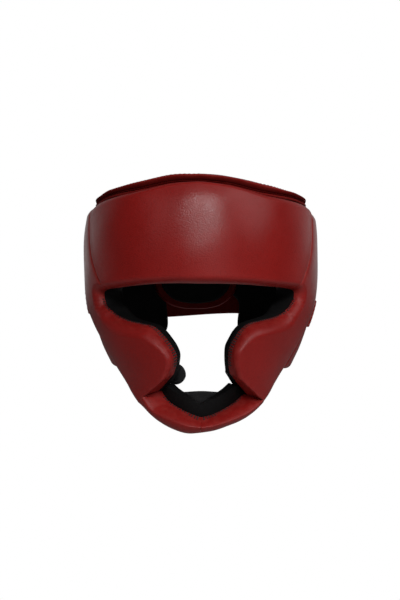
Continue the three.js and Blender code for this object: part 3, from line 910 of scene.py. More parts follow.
def black_lining(colours):
    """Matt black lining with a fine grain."""
    material, tree, shader = new_material("black_lining", Specular_IOR_Level=0.1)
    place = node_of(tree, "ShaderNodeTexCoord").outputs["Object"]
    mottle = group_of(tree, "mottle", Vector=place, Scale=22.0)
    grain = group_of(tree, "grain", Vector=place, Cells=1400.0)
    dark, light = scaled(colours.lining, 0.8), scaled(colours.lining, 1.35)
    tone = mix_colours(tree, mottle.outputs["Wide"], dark, light)
    tree.links.new(tone, shader.inputs["Base Color"])
    rough = ramp_of(tree, mottle.outputs["Fine"], (0.0, 1.0), (0.58, 0.72))
    tree.links.new(rough, shader.inputs["Roughness"])
    bump(tree, shader, grain.outputs["Height"], 0.2, 0.0003)
    return material


def black_web(colours):
    """Woven black strap."""
    material, tree, shader = new_material("black_web", Specular_IOR_Level=0.35)
    along = node_of(tree, "ShaderNodeUVMap", {"uv_map": "along"}).outputs["UV"]
    place = node_of(tree, "ShaderNodeTexCoord").outputs["Object"]
    weave = group_of(tree, "weave", Vector=along, Threads=620.0)
    mottle = group_of(tree, "mottle", Vector=place, Scale=40.0)
    tone = mix_colours(tree, weave.outputs["Gap"], scaled(colours.web, 1.2), scaled(colours.web, 0.4))
    tone = mix_colours(
        tree, math_of(tree, "MULTIPLY", mottle.outputs["Fine"], 0.3), tone, scaled(colours.web, 1.8)
    )
    tree.links.new(tone, shader.inputs["Base Color"])
    rough = ramp_of(tree, weave.outputs["Height"], (0.0, 1.0), (0.8, 0.55))
    tree.links.new(rough, shader.inputs["Roughness"])
    bump(tree, shader, weave.outputs["Height"], 0.5, 0.0005)
    return material


def thread(name, colour):
    """Twisted sewing thread."""
    material, tree, shader = new_material(name, Specular_IOR_Level=0.4)
    place = node_of(tree, "ShaderNodeTexCoord").outputs["Object"]
    mottle = group_of(tree, "mottle", Vector=place, Scale=300.0)
    tone = mix_colours(tree, mottle.outputs["Wide"], scaled(colour, 0.7), scaled(colour, 1.25))
    tree.links.new(tone, shader.inputs["Base Color"])
    rough = ramp_of(tree, mottle.outputs["Fine"], (0.0, 1.0), (0.5, 0.65))
    tree.links.new(rough, shader.inputs["Roughness"])
    bump(tree, shader, mottle.outputs["Fine"], 0.3, 0.0002)
    return material


made_materials = {}


def finish(name):
    """One of the object's finishes, made once."""
    colours = bpy.context.scene.headgear_colours
    makers = {
        "red_leather": lambda: red_leather(colours),
        "black_lining": lambda: black_lining(colours),
        "black_web": lambda: black_web(colours),
        "red_thread": lambda: thread("red_thread", colours.thread),
        "black_thread": lambda: thread("black_thread", scaled(colours.web, 1.6)),
    }
    if name not in made_materials:
        made_materials[name] = makers[name]()
    return made_materials[name]


# Settings


class HeadgearSizes(bpy.types.PropertyGroup):
    """Sizes of the padding and the sewing."""

    pad_thick: bpy.props.FloatProperty(
        name="Pad",
        description="Thickness of the brow and cheek pads",
        default=0.018,
        unit="LENGTH",
    )
    lining_thick: bpy.props.FloatProperty(
        name="Lining",
        description="Thickness of the lining behind them",
        default=0.0117,
        unit="LENGTH",
    )
    seam_gap: bpy.props.FloatProperty(
        name="Seam gap",
        description="Clearance between sewn pieces",
        default=0.0003,
        unit="LENGTH",
    )
    face_roll: bpy.props.FloatProperty(
        name="Face roll",
        description="Width of the roll round the face opening",
        default=0.0097,
        unit="LENGTH",
    )
    seam_roll: bpy.props.FloatProperty(
        name="Seam roll",
        description="Width of the roll beside a seam",
        default=0.0042,
        unit="LENGTH",
    )
    seam_drop: bpy.props.FloatProperty(
        name="Seam drop",
        description="Depth of the roll beside a seam",
        default=0.0013,
        unit="LENGTH",
    )
    pucker_pitch: bpy.props.FloatProperty(
        name="Pucker pitch",
        description="Spacing of the gathers along the eye slot",
        default=0.0021,
        unit="LENGTH",
    )
    stitch_pitch: bpy.props.FloatProperty(
        name="Stitch pitch",
        description="Spacing of the stitches",
        default=0.0042,
        unit="LENGTH",
    )
    stitch_thread: bpy.props.FloatProperty(
        name="Thread",
        description="Thickness of the sewing thread",
        default=0.0008,
        unit="LENGTH",
    )
    edge_pitch: bpy.props.FloatProperty(
        name="Edge pitch",
        description="Spacing of the stitches round the face",
        default=0.0025,
        unit="LENGTH",
    )
    edge_thread: bpy.props.FloatProperty(
        name="Edge thread",
        description="Thickness of the thread round the face",
        default=0.0011,
        unit="LENGTH",
    )


class HeadgearColours(bpy.types.PropertyGroup):
    """Colours of the finishes."""

    leather: bpy.props.FloatVectorProperty(
        name="Leather",
        description="Red leather",
        default=(0.232, 0.0085, 0.007),
        subtype="COLOR",
        min=0,
        max=1,
    )
    leather_worn: bpy.props.FloatVectorProperty(
        name="Worn leather",
        description="Leather on rubbed rims",
        default=(0.34, 0.05, 0.04),
        subtype="COLOR",
        min=0,
        max=1,
    )
    lining: bpy.props.FloatVectorProperty(
        name="Lining",
        description="Black lining",
        default=(0.0042, 0.0042, 0.0044),
        subtype="COLOR",
        min=0,
        max=1,
    )
    web: bpy.props.FloatVectorProperty(
        name="Webbing",
        description="Black straps",
        default=(0.008, 0.008, 0.009),
        subtype="COLOR",
        min=0,
        max=1,
    )
    thread: bpy.props.FloatVectorProperty(
        name="Thread",
        description="Thread on the leather",
        default=(0.2, 0.012, 0.01),
        subtype="COLOR",
        min=0,
        max=1,
    )


class HeadgearStage(bpy.types.PropertyGroup):
    """Camera and floor."""

    distance: bpy.props.FloatProperty(
        name="Distance",
        description="Camera to the headgear's middle",
        default=1.1,
        unit="LENGTH",
    )
    elevation: bpy.props.FloatProperty(
        name="Elevation",
        description="Camera above the level",
        default=math.radians(3),
        subtype="ANGLE",
    )
    lens: bpy.props.FloatProperty(
        name="Lens",
        description="Focal length",
        default=66,
        subtype="DISTANCE_CAMERA",
    )
    middle: bpy.props.FloatProperty(
        name="Middle",
        description="Height that the camera looks at",
        default=-0.119,
        unit="LENGTH",
    )
    aside: bpy.props.FloatProperty(
        name="Aside",
        description="How far to the right the camera looks and stands",
        default=-0.0008,
        unit="LENGTH",
    )
    floor: bpy.props.FloatProperty(
        name="Floor",
        description="Height of the floor",
        default=-0.6,
        unit="LENGTH",
    )


def in_mm(sizes):
    """The sizes in millimetres, under the same names."""
    return SimpleNamespace(**{name: getattr(sizes, name) / MM for name in HeadgearSizes.__annotations__})


# Pieces

LINING_ROLL = 5


class HEADGEAR_OT_brow(bpy.types.Operator):
    """Sew the brow pad and its lining"""

    bl_idname = "headgear.brow"
    bl_label = "Brow"

    def execute(self, context):
        sizes = in_mm(context.scene.headgear_sizes)
        rows = brow_rows()
        last = len(rows["a_deg"]) - 1
        rims = (
            rolled(
                "a",
                (0, 12, 11, 1.8),
                (1.5, 8, 10, 1.8),
                (5, 4.5, 9, 1.8),
                (8.5, 8, 10, 1.8),
                (last, 12, 11, 1.8),
            ),
            even_rim("b", 7, 14, last, 1.9),
            even_rim("start", sizes.seam_roll, sizes.seam_drop),
            even_rim("stop", sizes.seam_roll, sizes.seam_drop),
        )
        strip = lay_strip(rows, 1, along=260, across=84, end_crowding=0.6)
        pad, _ = sew_pad("forehead_pad", strip, rims, 0, sizes.pad_thick)
        dress(pad, "red_leather", "forehead_pad")
        strip = lay_strip(rows, 1, along=120, across=40)
        rims = [even_rim(edge, LINING_ROLL, LINING_ROLL, last) for edge in ("a", "b")]
        depth = sizes.pad_thick + sizes.seam_gap
        back = line_pad("forehead_lining", strip, rims, depth, sizes.lining_thick)
        dress(back, "black_lining", "forehead_lining")
        return {"FINISHED"}


SLOT_END_THINNING = 8
CHEEK_TOP_ROLL = {"left": (12, 11), "right": (16, 17)}
# How far the leather's edge round the eye slot and the tip is off its rows, as sewn by hand.
CHEEK_SHIFT = {
    "left": table(
        "place deg z",
        (SLOT_END - 1, 0, 0),
        (SLOT_END, -1.1, 0),
        (SLOT_END + 1, -1.6, 0.3),
        (SLOT_END + 2, -2.2, 0.8),
        (SLOT_END + 3, -0.4, -0.6),
        (SLOT_END + 4, 0, -2),
        (SLOT_END + 5, 0, -1.5),
        (TIP_FIRST, 0.6, -0.4),
        (TIP_FIRST + 1, 0.6, 0),
        (TIP_FIRST + 2, -0.6, 0),
        (TIP_FIRST + 3, -1.7, 0),
        (TIP_FIRST + 4, -2.2, 0),
        (TIP_FIRST + 5, -1.4, 0),
        (FOOT_LAST, -1.2, 0),
    ),
    "right": table(
        "place deg z",
        (SEAM_LAST, 0, 0),
        (SLOT_END - 1, -3.8, 0),
        (SLOT_END, -5.4, 0),
        (SLOT_END + 1, -7.4, 0.3),
        (SLOT_END + 2, -7.4, 0.6),
        (SLOT_END + 3, -4, 0.9),
        (SLOT_END + 4, -1, 0.9),
        (SLOT_END + 5, 0, 1.5),
        (TIP_FIRST, -0.3, 1.8),
        (TIP_FIRST + 1, -0.8, 0.8),
        (TIP_FIRST + 2, -1.2, 0),
        (TIP_FIRST + 3, -1.3, 0),
        (TIP_FIRST + 4, -0.4, 0),
        (TIP_FIRST + 5, 0.3, 0),
        (FOOT_LAST, 0, 0),
    ),
}
LINING_SHOWN_DEG = {"left": 0.9, "right": 0.8}    # how far the lining stands out past the pad's tip


def cheek_rows(name):
    """The cheek's rows as they are sewn on one side."""
    shift = CHEEK_SHIFT[name]
    place = np.arange(FOOT_LAST + 1)
    moved = {column: np.interp(place, shift["place"], shift[column]) for column in ("deg", "z")}
    return {**CHEEK_ROWS, "a_deg": CHEEK_ROWS["a_deg"] + moved["deg"], "a_z": CHEEK_ROWS["a_z"] + moved["z"]}


def cheek_lining_rows(name):
    """The same rows with the lining standing out beside the tip."""
    rows = cheek_rows(name)
    place = np.arange(FOOT_LAST + 1)
    shown = fade(place, SLOT_END + 4, TIP_FIRST) * (1 - fade(place, TIP_FIRST + 3, FOOT_LAST - 1))
    return {**rows, "a_deg": rows["a_deg"] - LINING_SHOWN_DEG[name] * shown}


def slot_thinning(strip):
    """How much thinner a pad is beside the outer end of the eye slot, where its lining comes forward."""
    end = fade(strip.place, SEAM_LAST, SLOT_END - 1.5) * (1 - fade(strip.place, SLOT_END + 1.5, SLOT_END + 5))
    return SLOT_END_THINNING * end[:, None] * (1 - fade(strip.share, 0, 0.6))


# Gathers along the eye slot, and creases at its outer end: heights, and how far they go.
GATHER_HEIGHT = {"left": 0.2, "right": 0.11}
GATHER_FADE = 2.4
CREASE_HEIGHT = 0.16
CREASE_PITCH = 2.9
CREASE_SLANT = 0.25
CREASE_MIDDLE = 3
CREASE_SPREAD = 7
CREASE_START = (0.5, 2.5)
CREASE_STOP = (4.5, 9)


def slot_relief(strip, pitch, name):
    """Small gathers along the eye slot and creases at its outer end."""
    points = strip.at.reshape(-1, 3)
    picked = (strip.place >= SEAM_LAST) & (strip.place <= FOOT_LAST)
    line = strip.at[picked, 0]
    distance, index = near_line(points, line)
    place = at_index(strip.place[picked], index)
    steps = np.linalg.norm(np.diff(line, axis=0), axis=1)
    travel = at_index(np.concatenate([[0], np.cumsum(steps)]), index)
    slot = fade(place, SLOT_END - 0.5, SLOT_END + 0.6) * (1 - fade(place, TIP_FIRST - 1.2, TIP_FIRST))
    gathers = GATHER_HEIGHT[name] * slot * np.cos(2 * np.pi * travel / pitch)
    gathers = gathers * np.exp(-distance / GATHER_FADE)
    end_travel = travel[np.argmin(np.abs(place - SLOT_END))]
    off_end = travel - end_travel
    near_end = np.exp(-(((off_end - CREASE_MIDDLE) / CREASE_SPREAD) ** 2))
    crease = near_end * fade(distance, *CREASE_START) * (1 - fade(distance, *CREASE_STOP))
    turns = (off_end + CREASE_SLANT * distance) / CREASE_PITCH
    return (gathers + CREASE_HEIGHT * crease * np.cos(2 * np.pi * turns)).reshape(strip.deg.shape)


class HEADGEAR_OT_cheeks(bpy.types.Operator):
    """Sew both cheek pads and their linings"""

    bl_idname = "headgear.cheeks"
    bl_label = "Cheeks"

    def execute(self, context):
        sizes = in_mm(context.scene.headgear_sizes)
        face_roll = sizes.face_roll
        runs = []
        for name, side in (("left", -1), ("right", 1)):
            rims = (
                even_rim("a", sizes.seam_roll, sizes.seam_drop, SEAM_LAST),
                rolled(
                    "a",
                    (SEAM_LAST, 7, 13, 1.9),
                    (SLOT_END - 1.5, 7.5, 8.5, 1.9),
                    (SLOT_END + 0.5, 8, 8.5, 1.9),
                    (SLOT_END + 3, face_roll, 11.5, 1.9),
                    (TIP_FIRST - 1, face_roll, 14, 1.8),
                    (TIP_FIRST + 1, face_roll * 0.9, 11, 1.8),
                    (TIP_FIRST + 3, face_roll * 0.6, 7, 2),
                    (FOOT_LAST, 4, 5, 2),
                ),
                rolled(
                    "b",
                    (0, 8, 6, 2),
                    (SLOT_END + 1, 14, 8, 2),
                    (FOOT_LAST - 2, 14, 8, 2),
                    (FOOT_LAST, 9, 5, 2),
                ),
                even_rim("start", *CHEEK_TOP_ROLL[name], power=1.8),
                rolled("stop", (0, 3, 4, 2), (0.3, 1.6, 1.2, 2), (0.5, 0.9, 0.5, 2), (1, 0.8, 0.4, 2)),
            )
            rows = cheek_rows(name)
            strip = lay_strip(rows, side, along=560, across=46, a_weight=0.8, end_crowding=0.1)
            deep = sizes.pad_thick - slot_thinning(strip)
            relief = slot_relief(strip, sizes.pucker_pitch, name)
            pad, face = sew_pad("cheek_pad_" + name, strip, rims, 0, deep, relief=relief)
            dress(pad, "red_leather", "cheek_pad_" + name)
            shown = (strip.place > SLOT_END - 0.5) & (strip.place < FOOT_LAST - 0.5)
            hem = inside(strip.deg[shown, 0], strip.z[shown, 0], deep[shown, 0])
            runs += over_edge(face[shown], hem, sizes.edge_pitch, OVER_EDGE["cheek"])
            rims = (
                rolled("a", *((place, LINING_ROLL, LINING_ROLL, 2) for place in (SEAM_LAST, FOOT_LAST))),
                even_rim("b", LINING_ROLL, LINING_ROLL, FOOT_LAST),
                even_rim("stop", 1.5, 1.5),
            )
            rows = cheek_lining_rows(name)
            strip = lay_strip(rows, side, along=200, across=30, a_weight=0.7, end_crowding=0.1)
            thinning = slot_thinning(strip)
            depth = sizes.pad_thick + sizes.seam_gap - thinning
            back = line_pad("cheek_lining_" + name, strip, rims, depth, sizes.lining_thick + thinning)
            dress(back, "black_lining", "cheek_lining_" + name)
        sew_edge("cheek_edge_stitches", runs, sizes)
        return {"FINISHED"}


EAR_DEPTH = {"left": 3.9, "right": 2.5}
EAR_SAG = {"left": 8.5, "right": 11}
EAR_THICK = 11.5
EAR_LINING_THICK = 7.2
EAR_REAR_SHIFT = {"left": (0, 0), "right": (6, -2.6)}    # above and below the strap
EAR_SEAM_DROP = 3
EAR_STITCHED = slice(6, -6)    # stations with stitches up the rear edge
EAR_STITCH_COLUMN = -9


class HEADGEAR_OT_ears(bpy.types.Operator):
    """Sew both ear pads, their linings and the stitches up their rear edges"""

    bl_idname = "headgear.ears"
    bl_label = "Ears"

    def execute(self, context):
        sizes = in_mm(context.scene.headgear_sizes)
        runs = []
        for name, side in (("left", -1), ("right", 1)):
            depth = EAR_DEPTH[name]
            rows = ear_rows(EAR_REAR_SHIFT[name], EAR_SAG[name])
            last = len(rows["a_deg"]) - 1
            rims = (
                even_rim("a", sizes.seam_roll, EAR_SEAM_DROP, last),
                even_rim("b", 5, 5, last),
                even_rim("start", 8, 8),
                even_rim("stop", 6, 6),
            )
            strip = lay_strip(rows, side, along=130, across=56, end_crowding=0.6)
            pad, face = sew_pad("ear_pad_" + name, strip, rims, depth, EAR_THICK)
            dress(pad, "red_leather", "ear_pad_" + name)
            runs.append(run_along(face[EAR_STITCHED], EAR_STITCH_COLUMN))
            rims = rims_all_round(3.5, 3.5, last)
            strip = lay_strip(rows, side, along=70, across=36)
            depth += EAR_THICK + sizes.seam_gap
            back = line_pad("ear_lining_" + name, strip, rims, depth, EAR_LINING_THICK)
            dress(back, "black_lining", "ear_lining_" + name)
        sew_seam("ear_stitches", runs, sizes)
        return {"FINISHED"}


CHIN_DEPTH = 3.6
CHIN_END_DEPTH = 0
CHIN_RISE = (1.6, 3.9)     # rows over which the bar comes out to the cheeks' skin
CHIN_CORNER = 4            # row where its upper edge meets the cheek's foot
CHIN_STITCHED = 3.7        # row where the stitches over its edge end
CHIN_THICK = 18.4
CHIN_LINING_THICK = 11


class HEADGEAR_OT_chin(bpy.types.Operator):
    """Sew both halves of the chin bar and their linings"""

    bl_idname = "headgear.chin"
    bl_label = "Chin bar"

    def execute(self, context):
        sizes = in_mm(context.scene.headgear_sizes)
        back_depth = CHIN_DEPTH + CHIN_THICK
        runs = []
        for name, side in (("left", -1), ("right", 1)):
            rows = CHIN_ROWS[name]
            last = len(rows["a_deg"]) - 1
            rims = (
                rolled("a", (0, 6, 15, 2), (3, 6, 15, 2), (CHIN_CORNER, 1.5, 3, 2)),
                rolled("a", (CHIN_CORNER, 0.8, 0.4, 2), (last, 0.8, 0.4, 2)),
                rolled(
                    "b",
                    (0, 12, 11, 1.8),
                    (3, 13, 10.5, 1.8),
                    (4, 13, 8.5, 1.9),
                    (5, 11, 6.5, 2),
                    (last, 9, 5, 2),
                ),
                even_rim("start", 1.3, 3),
                even_rim("stop", 1, 1),
            )
            strip = lay_strip(rows, side, along=150, across=46, end_crowding=0.4)
            depth = mix(CHIN_DEPTH, CHIN_END_DEPTH, fade(strip.place, *CHIN_RISE))[:, None]
            pad, face = sew_pad("chin_pad_" + name, strip, rims, depth, back_depth - depth)
            dress(pad, "red_leather", "chin_pad_" + name)
            shown = strip.place < CHIN_STITCHED
            hem = inside(strip.deg[shown, 0], strip.z[shown, 0], np.full(shown.sum(), back_depth))
            runs += over_edge(face[shown], hem, sizes.edge_pitch, OVER_EDGE["chin"])
            last = len(CHIN_LINING_ROWS["a_deg"]) - 1
            rims = (
                rolled("a", (0, 3, 3, 2), (2.4, 3, 3, 2), (3, 1, 1, 2), (last, 1, 1, 2)),
                even_rim("b", 3, 3, last),
                even_rim("start", 2, 1.2),
                even_rim("stop", 3, 3),
            )
            strip = lay_strip(CHIN_LINING_ROWS, side, along=70, across=30, end_crowding=0.6)
            depth = back_depth + sizes.seam_gap
            back = line_pad("chin_lining_" + name, strip, rims, depth, CHIN_LINING_THICK)
            dress(back, "black_lining", "chin_lining_" + name)
        sew_edge("chin_edge_stitches", runs, sizes)
        return {"FINISHED"}


CROWN_REACH = 100        # about how far its rim is from its middle, so an inset over it is a share
CROWN_DOME = 1.3         # power of the fall in height from its middle to its rim
CROWN_MIDDLE = 0.3       # share of the crown over which its middle is rounded off
CROWN_SPAN = (1 + CROWN_MIDDLE**2) ** (CROWN_DOME / 2) - CROWN_MIDDLE**CROWN_DOME
CROWN_RIM_GAP = 1.0      # from the pads' top edge up to its seat, in front
CROWN_REAR_GAP = 0.2     # and at the back
CROWN_GAP_CHANGE = (-10, 50)    # ahead of the middle, where the gap changes from the rear's to the front's
CROWN_AROUND = 240
CROWN_RINGS = 12
CROWN_CROWDING = 1.4            # how the rings crowd towards the rim
CROWN_LAYER_THICK = 2
# how much painted shade darkens the whole layer
CROWN_LAYER_PAINTED_SHADE = 0.6
CROWN_PANEL_THICK = 4
CROWN_BORDER_THICK = 6.4
CROWN_BORDER = 11
CROWN_SHOULDER = 3
CROWN_GROOVE = {"depth": 0.5, "width": 1.1}    # where the border is sewn down
CROWN_WAVE = 0.3
CROWN_LEFT_DROP = 0.8       # how much lower the panel is at the viewer's left end
CROWN_RIGHT_DROP = 0.9      # and at the right end
CROWN_FLANK_RISE = 1.3      # how much fuller it is on both sides of the middle of its front
CROWN_FLANK = (0.08, 0.8)   # where that starts and stops, in shares of the reach
CROWN_FRONT = (0, 60)       # ahead of the middle, where the front's own shape sets in
CROWN_SIDE_UNDERCUT = 0.3   # share of the front's undercut that the sides have
CROWN_UNDERCUT_END = (0.56, 0.7)
# share of the rim's height over which its painted shade fades out towards the top
CROWN_PAINTED_SHADE_END = (0.75, 1)
# Height and inset of the layer's rim, from its underside to its top.
CROWN_LAYER_RIM = ((0, 0.3), (0.5, 0), (1.5, 0), (2, 0.3))
# The panel's rim, from its underside to its top: share of its thickness, and how far in from the rim it lies.
CROWN_RIM = (
    (0, 2.8),
    (0.06, 2),
    (0.15, 1.8),
    (0.21, 2.3),
    (0.27, 1.5),
    (0.4, 0.8),
    (0.56, 0.25),
    (0.7, 0),
    (0.8, 0.12),
    (0.88, 0.5),
    (0.94, 1.1),
    (0.98, 1.9),
)
# How far in from the rim the rings of the panel's top lie, close over its border and wide apart inside it.
CROWN_TOP = np.concatenate([np.arange(3.2, 16, 0.8), np.linspace(17, 97, 26)])


def crown_points(share, rise):
    """One ring of the crown, between its rim, share 0, and its middle, share 1, at a height over its seat."""
    deg = 360 * np.arange(CROWN_AROUND) / CROWN_AROUND
    deg = np.where(deg > 180, deg - 360, deg)
    rim = inside(deg, pad_top(deg), row_where(PAD_TOP, "deg", np.abs(deg))["inset"])
    arch = (1 - share) ** 2 + CROWN_MIDDLE**2
    arch = 1 - (arch ** (CROWN_DOME / 2) - CROWN_MIDDLE**CROWN_DOME) / CROWN_SPAN
    gap = mix(CROWN_REAR_GAP, CROWN_RIM_GAP, fade(-rim[:, 1], *CROWN_GAP_CHANGE))
    z = mix(rim[:, 2] + gap, 0, arch) + rise
    return np.stack([rim[:, 0] * (1 - share), rim[:, 1] * (1 - share), z], -1)


def crown_skew(points):
    """How much lower the panel is at its ends, and higher in front on both sides of the middle."""
    side = points[:, 0] / CROWN_REACH
    drop = np.abs(side) * np.where(side < 0, CROWN_LEFT_DROP, CROWN_RIGHT_DROP)
    start, stop = CROWN_FLANK
    flank = np.sin(np.pi * np.clip((np.abs(side) - start) / (stop - start), 0, 1))
    return CROWN_FLANK_RISE * flank * fade(-points[:, 1], *CROWN_FRONT) - drop


def crown_piece(name, rings, edge, painted_shade):
    """A closed dome from its rings, which go from under its middle round its rim to the middle of its top."""
    points = np.concatenate(rings)
    count = len(rings)
    faces = []
    for ring in range(count - 1):
        low, high = ring * CROWN_AROUND, (ring + 1) * CROWN_AROUND
        for k in range(CROWN_AROUND):
            after = (k + 1) % CROWN_AROUND
            faces.append([low + k, low + after, high + after, high + k])
    under, over = len(points), len(points) + 1
    last = (count - 1) * CROWN_AROUND
    for k in range(CROWN_AROUND):
        after = (k + 1) % CROWN_AROUND
        faces.append([under, after, k])
        faces.append([over, last + k, last + after])
    poles = np.stack([rings[0].mean(0), rings[-1].mean(0)])
    # Each ring's distance from the rim, its painted shade and its dullness.
    fields = {
        field: np.concatenate([np.repeat(value, CROWN_AROUND), [value[0], value[-1]]])
        for field, value in (("edge", edge), ("painted_shade", painted_shade), ("dull", np.ones(count)))
    }
    return new_piece(name, np.concatenate([points, poles]), faces, fields=fields)


class HEADGEAR_OT_crown(bpy.types.Operator):
    """Sew the crown's layer, its padded panel and the panel's border stitches"""

    bl_idname = "headgear.crown"
    bl_label = "Crown"

    def execute(self, context):
        sizes = in_mm(context.scene.headgear_sizes)
        inner = (np.arange(CROWN_RINGS, 0, -1) / (CROWN_RINGS + 0.5)) ** CROWN_CROWDING
        self.layer(inner)
        border_line = self.panel(inner, CROWN_LAYER_THICK + sizes.seam_gap)
        line = np.concatenate([border_line, border_line[:1]])
        up = np.tile([0.0, 0.0, 1.0], (len(line), 1))
        sew_seam("crown_stitches", [(line, up)], sizes)
        return {"FINISHED"}

    def layer(self, inner):
        """The thin layer under the panel."""
        rings = [crown_points(share, 0) for share in inner]
        rings += [crown_points(inset / CROWN_REACH, height) for height, inset in CROWN_LAYER_RIM]
        rings += [crown_points(share, CROWN_LAYER_THICK) for share in inner[::-1]]
        edge = np.concatenate([inner, np.zeros(len(CROWN_LAYER_RIM)), inner[::-1]]) * CROWN_REACH
        # The whole layer gets painted shade.
        layer = crown_piece("crown_layer_sewn", rings, edge, np.full(len(edge), CROWN_LAYER_PAINTED_SHADE))
        dress(layer, "red_leather", "crown_layer")

    def panel(self, inner, low):
        """The padded panel, and the line that its border is sewn along."""
        rings = [crown_points(share, low) for share in inner]
        edge, painted_shade = list(inner * CROWN_REACH), [0] * len(inner)
        rim = crown_points(0, 0)
        rise = CROWN_BORDER_THICK + crown_skew(rim)
        undercut = mix(CROWN_SIDE_UNDERCUT, 1, fade(-rim[:, 1], *CROWN_FRONT))
        for share, inset in CROWN_RIM:
            inset = inset * mix(undercut, 1, float(fade(share, *CROWN_UNDERCUT_END)))
            rings.append(crown_points(inset / CROWN_REACH, low + rise * share))
            edge.append(0)
            # The lower part of the rim gets painted shade, fading out towards its top.
            painted_shade.append(1 - float(fade(share, *CROWN_PAINTED_SHADE_END)))
        border_line = None
        for inset in CROWN_TOP:
            off_groove = (inset - CROWN_BORDER) / CROWN_GROOVE["width"]
            groove = CROWN_GROOVE["depth"] * math.exp(-(off_groove**2))
            sunk = float(fade(inset, CROWN_SHOULDER, CROWN_BORDER))
            thick = mix(CROWN_BORDER_THICK, CROWN_PANEL_THICK, sunk)
            ring = crown_points(inset / CROWN_REACH, low + thick - groove)
            ring[:, 2] += crown_skew(ring) + unevenness(ring, CROWN_WAVE)
            rings.append(ring)
            edge.append(inset)
            painted_shade.append(0)
            if border_line is None and inset > CROWN_BORDER / 2:
                border_line = ring
        panel = crown_piece("crown_panel_sewn", rings, np.array(edge), np.array(painted_shade))
        dress(panel, "red_leather", "crown_panel")
        return border_line


TONGUE_MID_DEG = 183.6
TONGUE_DEPTH = 22
TONGUE_THICK = 6
TONGUE_LINING_THICK = 2.6
TONGUE_LINING_GAP = 0.7
TONGUE_BORDER_DEG = 3.6
TONGUE_BORDER = 5.8
UNWORN = 20              # added to the distance from its rim, because nothing rubs the rim inside
# Painted shade on the tongue's back and rim, which lie inside the headgear.
TONGUE_PAINTED_SHADE = 0.8
TONGUE_RIM = 4           # rows of its grid round the rim that are in the shade
TONGUE_STITCHED = slice(4, -9)
TONGUE_STITCH_COLUMNS = (8, -9)
TONGUE_WAVE = 0.1


class HEADGEAR_OT_nape(bpy.types.Operator):
    """Sew the tongue inside the rear closing, its lining and its border stitches"""

    bl_idname = "headgear.nape"
    bl_label = "Nape tongue"

    def execute(self, context):
        sizes = in_mm(context.scene.headgear_sizes)
        rows = tongue_rows(TONGUE_MID_DEG, 0, 0)
        last = len(rows["a_deg"]) - 1
        rims = rims_all_round(2, 1.8, last)
        strip = lay_strip(rows, 1, along=70, across=44)
        drop, edge = roll_rims(strip, rims)
        face = inside(strip.deg, strip.z, TONGUE_DEPTH + drop)
        back = back_grid(strip, TONGUE_DEPTH + TONGUE_THICK)
        # Its back and rim get painted shade.
        tongue = closed_strip(
            "nape_tongue_sewn",
            face,
            back,
            {"edge": edge + UNWORN},
            inner_painted_shade=TONGUE_PAINTED_SHADE,
            rim=TONGUE_RIM,
        )
        dress(tongue, "red_leather", "nape_tongue")
        runs = [run_along(face[TONGUE_STITCHED], column) for column in TONGUE_STITCH_COLUMNS]
        sew_seam("tongue_stitches", runs, sizes)
        rows = tongue_rows(TONGUE_MID_DEG, TONGUE_BORDER_DEG, TONGUE_BORDER)
        rims = rims_all_round(1.6, 1.4, last)
        strip = lay_strip(rows, 1, along=60, across=36)
        depth = TONGUE_DEPTH + TONGUE_THICK + TONGUE_LINING_GAP
        back = line_pad("nape_lining", strip, rims, depth, TONGUE_LINING_THICK, TONGUE_WAVE)
        dress(back, "black_lining", "nape_lining")
        return {"FINISHED"}


STRAP_HEIGHT = 27
STRAP_THICK = 4
STRAP_DEPTH = 1.4
STRAP_LIFT = {"middle": 0.3, "change": 1.4}    # shares of the lift, at its middle and from edge to edge
STRAP_EDGE = 3.2                # from its edge to its stitches
STRAP_GROOVE = {"depth": 0.35, "width": 0.7}
STRAP_STATIONS = 240
STRAP_COLUMNS = 24
STRAP_STITCHED = slice(4, -4)
STRAP_CROSS_STITCHED = (4, 34)    # stations from each end with a row of stitches across


class HEADGEAR_OT_rear_strap(bpy.types.Operator):
    """Sew the closing strap across the back and its stitches"""

    bl_idname = "headgear.rear_strap"
    bl_label = "Rear strap"

    def execute(self, context):
        sizes = in_mm(context.scene.headgear_sizes)
        stations, columns = STRAP_STATIONS, STRAP_COLUMNS
        row = row_at(STRAP_ROUTE, spread(stations, 0.3) * (len(STRAP_ROUTE["deg"]) - 1))
        share = spread(columns, 0.8) - 0.5
        deg = np.broadcast_to(row["deg"][:, None], (stations + 1, columns + 1))
        z = row["z"][:, None] + share[None, :] * STRAP_HEIGHT
        at = skin(deg, z)
        strip = Strip(deg, z, np.linspace(0, 1, stations + 1), share[None, :] + 0.5, at)
        rims = rims_all_round(1.6, 1.5)
        drop, edge = roll_rims(strip, rims)
        groove = STRAP_GROOVE["depth"] * np.exp(-(((edge - STRAP_EDGE) / STRAP_GROOVE["width"]) ** 2))
        lift = row["lift"][:, None] * (STRAP_LIFT["middle"] + STRAP_LIFT["change"] * share[None, :])
        depth = STRAP_DEPTH - lift
        face = inside(deg, z, depth - STRAP_THICK + drop + groove)
        back = back_grid(strip, depth)
        # The strap's inner face gets painted shade.
        strap = closed_strip("rear_strap_sewn", face, back, {"edge": edge}, inner_painted_shade=1)
        dress(strap, "red_leather", "rear_strap")
        side = int(np.argmin(np.abs((share + 0.5) * STRAP_HEIGHT - STRAP_EDGE)))
        runs = [run_along(face[STRAP_STITCHED], column) for column in (side, columns - side)]
        between = slice(side, columns - side + 1)
        for start in STRAP_CROSS_STITCHED:
            for station in (start, stations - start):
                runs.append((face[station, between], outward(deg[station], z[station])[between]))
        sew_seam("rear_strap_stitches", runs, sizes)
        return {"FINISHED"}


CHIN_STRAP_HEIGHT = 26
CHIN_STRAP_THICK = 2.5
CHIN_TAB_HEIGHT = 20.5
CHIN_TAB_TIP = 0.12    # share of its width that the free end's rounded tip still has
WEB_ROLL = 0.9
WEB_STITCHED = slice(2, -8)
WEB_STITCH_COLUMNS = (5, -6)
ROUTE_STEP = 0.01


